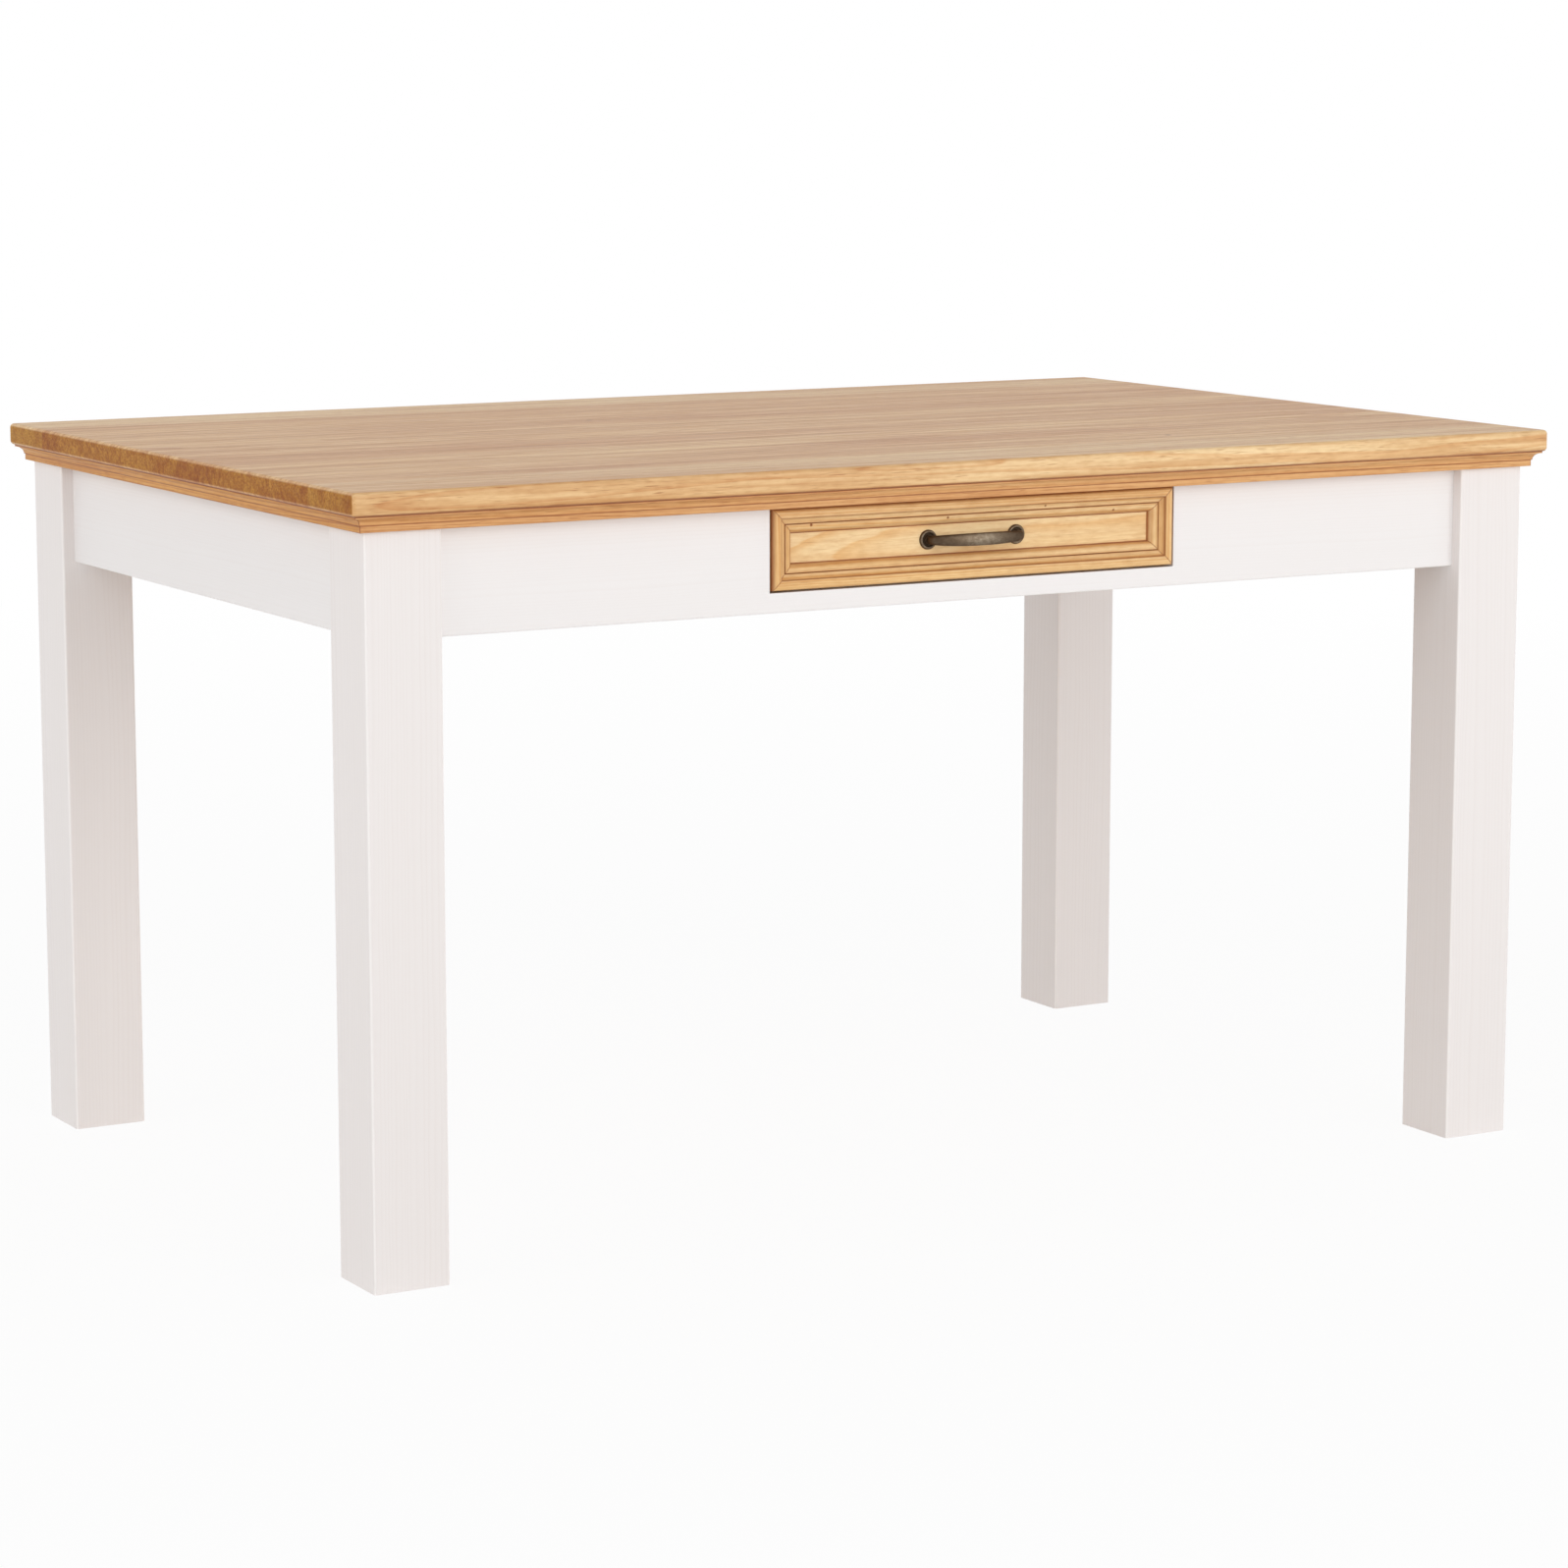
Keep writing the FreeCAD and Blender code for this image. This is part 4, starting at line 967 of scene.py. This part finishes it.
def new_tree(name, sizes):
    """An empty tree with a named input for each size, and the sockets of those inputs."""
    tree = bpy.data.node_groups.new(name, "GeometryNodeTree")
    tree.is_modifier = True
    tree.interface.new_socket("Geometry", in_out="INPUT", socket_type="NodeSocketGeometry")
    for size_name, value in sizes.items():
        socket = tree.interface.new_socket(size_name, in_out="INPUT", socket_type="NodeSocketFloat")
        socket.default_value = value
    tree.interface.new_socket("Geometry", in_out="OUTPUT", socket_type="NodeSocketGeometry")
    return tree, step(tree, "NodeGroupInput").outputs


def together(tree, *shapes):
    """Several shapes as one."""
    node = step(tree, "GeometryNodeJoinGeometry")
    for shape in shapes:
        tree.links.new(shape, node.inputs[0])
    return node.outputs[0]


def lifted(tree, shape, height, turn=(0, 0, 0)):
    """A shape turned, then moved up its axis."""
    place = made(tree, "ShaderNodeCombineXYZ", {"Z": height})
    return made(tree, "GeometryNodeTransform", {0: shape, "Translation": place, "Rotation": turn})


def cut(tree, operation, shape, *tools):
    """A shape cut by tools."""
    node = step(tree, "GeometryNodeMeshBoolean", operation=operation, solver="EXACT")
    if operation == "DIFFERENCE":
        tree.links.new(shape, node.inputs["Mesh 1"])
    else:
        tools = (shape,) + tools
    for tool in tools:
        tree.links.new(tool, node.inputs["Mesh 2"])
    return node.outputs["Mesh"]


def rod(tree, radius, top, bottom, sides=CORE_SIDES):
    """A round bar between two heights."""
    sockets = {"Vertices": sides, "Radius": radius, "Depth": calc(tree, "SUBTRACT", top, bottom)}
    bar = made(tree, "GeometryNodeMeshCylinder", sockets)
    return lifted(tree, bar, times(tree, calc(tree, "ADD", top, bottom), 0.5))


def thread(tree, radius, ridge, pitch, top, bottom):
    """A ridge with three corners, swept along a spiral between two heights."""
    height = calc(tree, "SUBTRACT", top, bottom)
    sockets = {"Resolution": THREAD_STEPS, "Rotations": calc(tree, "DIVIDE", height, pitch)}
    sockets.update({"Height": height, "Start Radius": radius, "End Radius": radius})
    path = made(tree, "GeometryNodeCurveSpiral", sockets)
    profile = made(tree, "GeometryNodeCurvePrimitiveCircle", {"Resolution": 3, "Radius": ridge})
    sockets = {"Curve": path, "Profile Curve": profile, "Fill Caps": True}
    return lifted(tree, made(tree, "GeometryNodeCurveToMesh", sockets), bottom)


def planted(tree, points, shape, finish):
    """Puts a shape on every point, looking along the point's own direction, and ends the tree."""
    out = made(tree, "GeometryNodeInputNamedAttribute", {"Name": "out"}, data_type="FLOAT_VECTOR")
    upright = made(tree, "FunctionNodeAlignRotationToVector", {"Vector": out}, axis="Z")
    sockets = {0: (0, 0, 0), 1: (0, 0, math.tau), "Seed": SPIN_SEED}
    turn = made(tree, "FunctionNodeRandomValue", sockets, data_type="FLOAT_VECTOR")
    sockets = {"Rotation": upright, "Rotate By": made(tree, "FunctionNodeEulerToRotation", {0: turn})}
    turned = made(tree, "FunctionNodeRotateRotation", sockets, rotation_space="LOCAL")
    sockets = {"Points": points, "Instance": shape, "Rotation": turned}
    copies = made(tree, "GeometryNodeInstanceOnPoints", sockets)
    plain = made(tree, "GeometryNodeRealizeInstances", {"Geometry": copies})
    bare = made(tree, "GeometryNodeRemoveAttribute", {"Geometry": plain, "Name": "out"})
    dressed = made(tree, "GeometryNodeSetMaterial", {"Geometry": bare, "Material": finish})
    step(tree, "NodeGroupOutput", {"Geometry": dressed})


# %% Head of a screw
HEAD_SIDES = 28
# Each ring's rise, as a share of the head's height, and its width, as a share of the ring below.
HEAD_RINGS = ((0.30, 0.98), (0.34, 0.93), (0.23, 0.82), (0.13, 0.6))


def screw_head(tree, size):
    """A pan head raised ring by ring from a disc, with a cross cut into it."""
    sockets = {"Vertices": HEAD_SIDES, "Radius": size["Head Radius"]}
    disc = made(tree, "GeometryNodeMeshCircle", sockets, fill_type="NGON")
    head = disc
    top = None
    for rise, narrowing in HEAD_RINGS:
        sockets = {"Mesh": head, "Offset": (0, 0, 1), "Individual": False}
        sockets["Offset Scale"] = times(tree, size["Head Height"], rise)
        if top:
            sockets["Selection"] = top
        raise_ring = step(tree, "GeometryNodeExtrudeMesh", sockets, mode="FACES")
        top = raise_ring.outputs["Top"]
        sockets = {"Geometry": raise_ring.outputs["Mesh"], "Selection": top, "Scale": narrowing}
        head = made(tree, "GeometryNodeScaleElements", sockets, domain="FACE")
    underside = made(tree, "GeometryNodeFlipFaces", {"Mesh": disc})
    closed = together(tree, head, underside)
    head = made(tree, "GeometryNodeMergeByDistance", {"Geometry": closed, "Distance": MERGED})
    depth = times(tree, size["Cross Depth"], 2)
    bars = []
    for first, second in (("Cross Length", "Cross Width"), ("Cross Width", "Cross Length")):
        box = made(tree, "ShaderNodeCombineXYZ", {"X": size[first], "Y": size[second], "Z": depth})
        bar = made(tree, "GeometryNodeMeshCube", {"Size": box})
        bars.append(lifted(tree, bar, size["Head Height"]))
    return cut(tree, "DIFFERENCE", head, *bars)


# %% Shank of a screw
POINT_TIP = 0.0001
PLAIN_NECK = 0.002


def screw_shank(tree, size):
    """A thin core, its point, and a thread from under the neck to the point."""
    radius = size["Core Radius"]
    end = times(tree, size["Shank Length"], -1)
    point_start = calc(tree, "ADD", end, size["Point Length"])
    core = rod(tree, radius, 0.0, point_start)
    sockets = {"Vertices": CORE_SIDES, "Radius Top": POINT_TIP, "Radius Bottom": radius}
    sockets["Depth"] = size["Point Length"]
    cone = made(tree, "GeometryNodeMeshCone", sockets)
    point = lifted(tree, cone, point_start, (math.pi, 0, 0))
    ridge, pitch = size["Thread Depth"], size["Thread Pitch"]
    return core, point, thread(tree, radius, ridge, pitch, -PLAIN_NECK, point_start)


# %% A screw from its sizes
SCREW_SIZES = {
    "Head Radius": HEAD_RADIUS,
    "Head Height": HEAD_HEIGHT,
    "Core Radius": 0.0014,
    "Thread Depth": 0.0005,
    "Thread Pitch": 0.0018,
    "Point Length": 0.004,
    "Cross Width": 0.0009,
    "Cross Length": 0.0046,
    "Cross Depth": 0.0014,
    "Shank Length": 0.028,
}

screw_tree, size = new_tree("wood_screws", SCREW_SIZES)
screw = together(screw_tree, screw_head(screw_tree, size), *screw_shank(screw_tree, size))
planted(screw_tree, size["Geometry"], screw, zinc)
print("screw tree:", len(screw_tree.nodes), "nodes,", len(SCREW_SIZES), "sizes")

# %% Running a tree on points
def grown(name, tree, places, sizes):
    """Runs a tree on points, each with the way it looks, and gives back the mesh."""
    points = bpy.data.meshes.new(name)
    points.from_pydata([place for place, out in places], [], [])
    looks = points.attributes.new("out", "FLOAT_VECTOR", "POINT")
    looks.data.foreach_set("vector", [value for place, out in places for value in out])
    carrier = new_object(name, points)
    modifier = carrier.modifiers.new(name, "NODES")
    modifier.node_group = tree
    for size_name, value in sizes.items():
        modifier[tree.interface.items_tree[size_name].identifier] = value
    evaluated = carrier.evaluated_get(bpy.context.evaluated_depsgraph_get())
    mesh = bpy.data.meshes.new_from_object(evaluated)
    bpy.data.objects.remove(carrier)
    return mesh


# %% Screws of the table and of the drawer
SCREWED = {
    "table_screws": ("table", ("batten_screws", "bracket_screws", "guide_screws", "catch_screw")),
    "drawer_box_screws": ("drawer", ("drawer_screws", "handle_screws")),
}

for name, (body, plain_screws) in SCREWED.items():
    by_length = {}
    for node in plain_screws:
        for length, seat, out in screw_seats(node):
            by_length.setdefault(length, []).append((seat, out))
    screws = bmesh.new()
    for length, places in sorted(by_length.items()):
        screws.from_mesh(grown(f"{name}_{length}", screw_tree, places, {"Shank Length": length}))
    print(name, {f"{length * 1000:.1f} mm": len(places) for length, places in sorted(by_length.items())})
    piece = new_piece(name, screws, zinc, sharp_from=35)
    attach(piece, body)
    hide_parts(*plain_screws)

# %% [markdown]
# ## Bolts in the corners
# Two hanger bolts pull each leg against its corner block, with a washer and a nut on the inside. A ball
# rounds off the corners of the nut, which is how the real chamfer looks. The threads are made as on the
# screws, with the pitch of a machine thread through the block and a coarse one in the leg.

# %% Washer and nut
WASHER_STEPS = 40
BALL_STEPS, BALL_RINGS = 48, 32
BORE_SIDES, BORE_REACH = 32, 0.02


def flat_washer(tree, size):
    """A flat profile swept round a circle."""
    outer, inner, thickness = size["Washer Radius"], size["Bolt Radius"], size["Washer Thickness"]
    radius = times(tree, calc(tree, "ADD", outer, inner), 0.5)
    path = made(tree, "GeometryNodeCurvePrimitiveCircle", {"Resolution": WASHER_STEPS, "Radius": radius})
    sockets = {"Width": calc(tree, "SUBTRACT", outer, inner), "Height": thickness}
    profile = made(tree, "GeometryNodeCurvePrimitiveQuadrilateral", sockets)
    ring = made(tree, "GeometryNodeCurveToMesh", {"Curve": path, "Profile Curve": profile})
    return lifted(tree, ring, times(tree, thickness, 0.5))


def six_sided_nut(tree, size, top):
    """A six-sided bar on the washer, rounded off by a ball and bored."""
    bottom = size["Washer Thickness"]
    bar = rod(tree, size["Nut Radius"], top, bottom, sides=6)
    sockets = {"Segments": BALL_STEPS, "Rings": BALL_RINGS, "Radius": size["Corner Ball"]}
    ball = made(tree, "GeometryNodeMeshUVSphere", sockets)
    middle = times(tree, calc(tree, "ADD", top, bottom), 0.5)
    rounded_bar = cut(tree, "INTERSECT", bar, lifted(tree, ball, middle))
    bore = rod(tree, size["Bolt Radius"], BORE_REACH, -BORE_REACH, sides=BORE_SIDES)
    return cut(tree, "DIFFERENCE", rounded_bar, bore)


# %% Threaded rod of a bolt
BOLT_SIDES = 24


def bolt_rod(tree, size, nut_top):
    """A core with a machine thread through the block and a coarse one in the leg."""
    ridge = size["Thread Depth"]
    top = calc(tree, "ADD", nut_top, size["Overhang"])
    block_back = times(tree, size["Block Thickness"], -1)
    end = calc(tree, "SUBTRACT", block_back, size["Leg Depth"])
    radius = calc(tree, "SUBTRACT", size["Bolt Radius"], ridge)
    core = rod(tree, radius, top, end, sides=BOLT_SIDES)
    fine = thread(tree, radius, ridge, size["Machine Pitch"], top, block_back)
    return core, fine, thread(tree, radius, ridge, size["Wood Pitch"], block_back, end)


# %% A hanger bolt from its sizes
BOLT_SIZES = {
    "Bolt Radius": 0.004,
    "Thread Depth": 0.0006,
    "Machine Pitch": 0.00125,
    "Wood Pitch": 0.003,
    "Block Thickness": 0.028,
    "Leg Depth": 0.045,
    "Overhang": 0.003,
    "Washer Radius": 0.011,
    "Washer Thickness": 0.0016,
    "Nut Radius": 0.0075,
    "Nut Height": 0.0065,
    "Corner Ball": 0.00786,
}

bolt_tree, size = new_tree("hanger_bolts", BOLT_SIZES)
nut_top = calc(bolt_tree, "ADD", size["Washer Thickness"], size["Nut Height"])
nut = six_sided_nut(bolt_tree, size, nut_top)
bolt = together(bolt_tree, flat_washer(bolt_tree, size), nut, *bolt_rod(bolt_tree, size, nut_top))
planted(bolt_tree, size["Geometry"], bolt, zinc)
print("bolt tree:", len(bolt_tree.nodes), "nodes,", len(BOLT_SIZES), "sizes")

# %% Bolts of the four corners
bolt_places = []
for part in loose_parts("bolt_washers"):
    low, high = extent(part)
    middle = (low + high) / 2
    inward = Vector((-math.copysign(1, middle.x), -math.copysign(1, middle.y), 0)).normalized()
    bolt_places.append((middle - inward * BOLT_SIZES["Washer Thickness"] / 2, inward))
bolts = bmesh.new()
bolts.from_mesh(grown("leg_bolts", bolt_tree, bolt_places, {}))
bolt_piece = new_piece("leg_bolts", bolts, zinc, sharp_from=35)
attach(bolt_piece, "table")
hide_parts("hanger_bolts", "bolt_washers", "bolt_nuts")
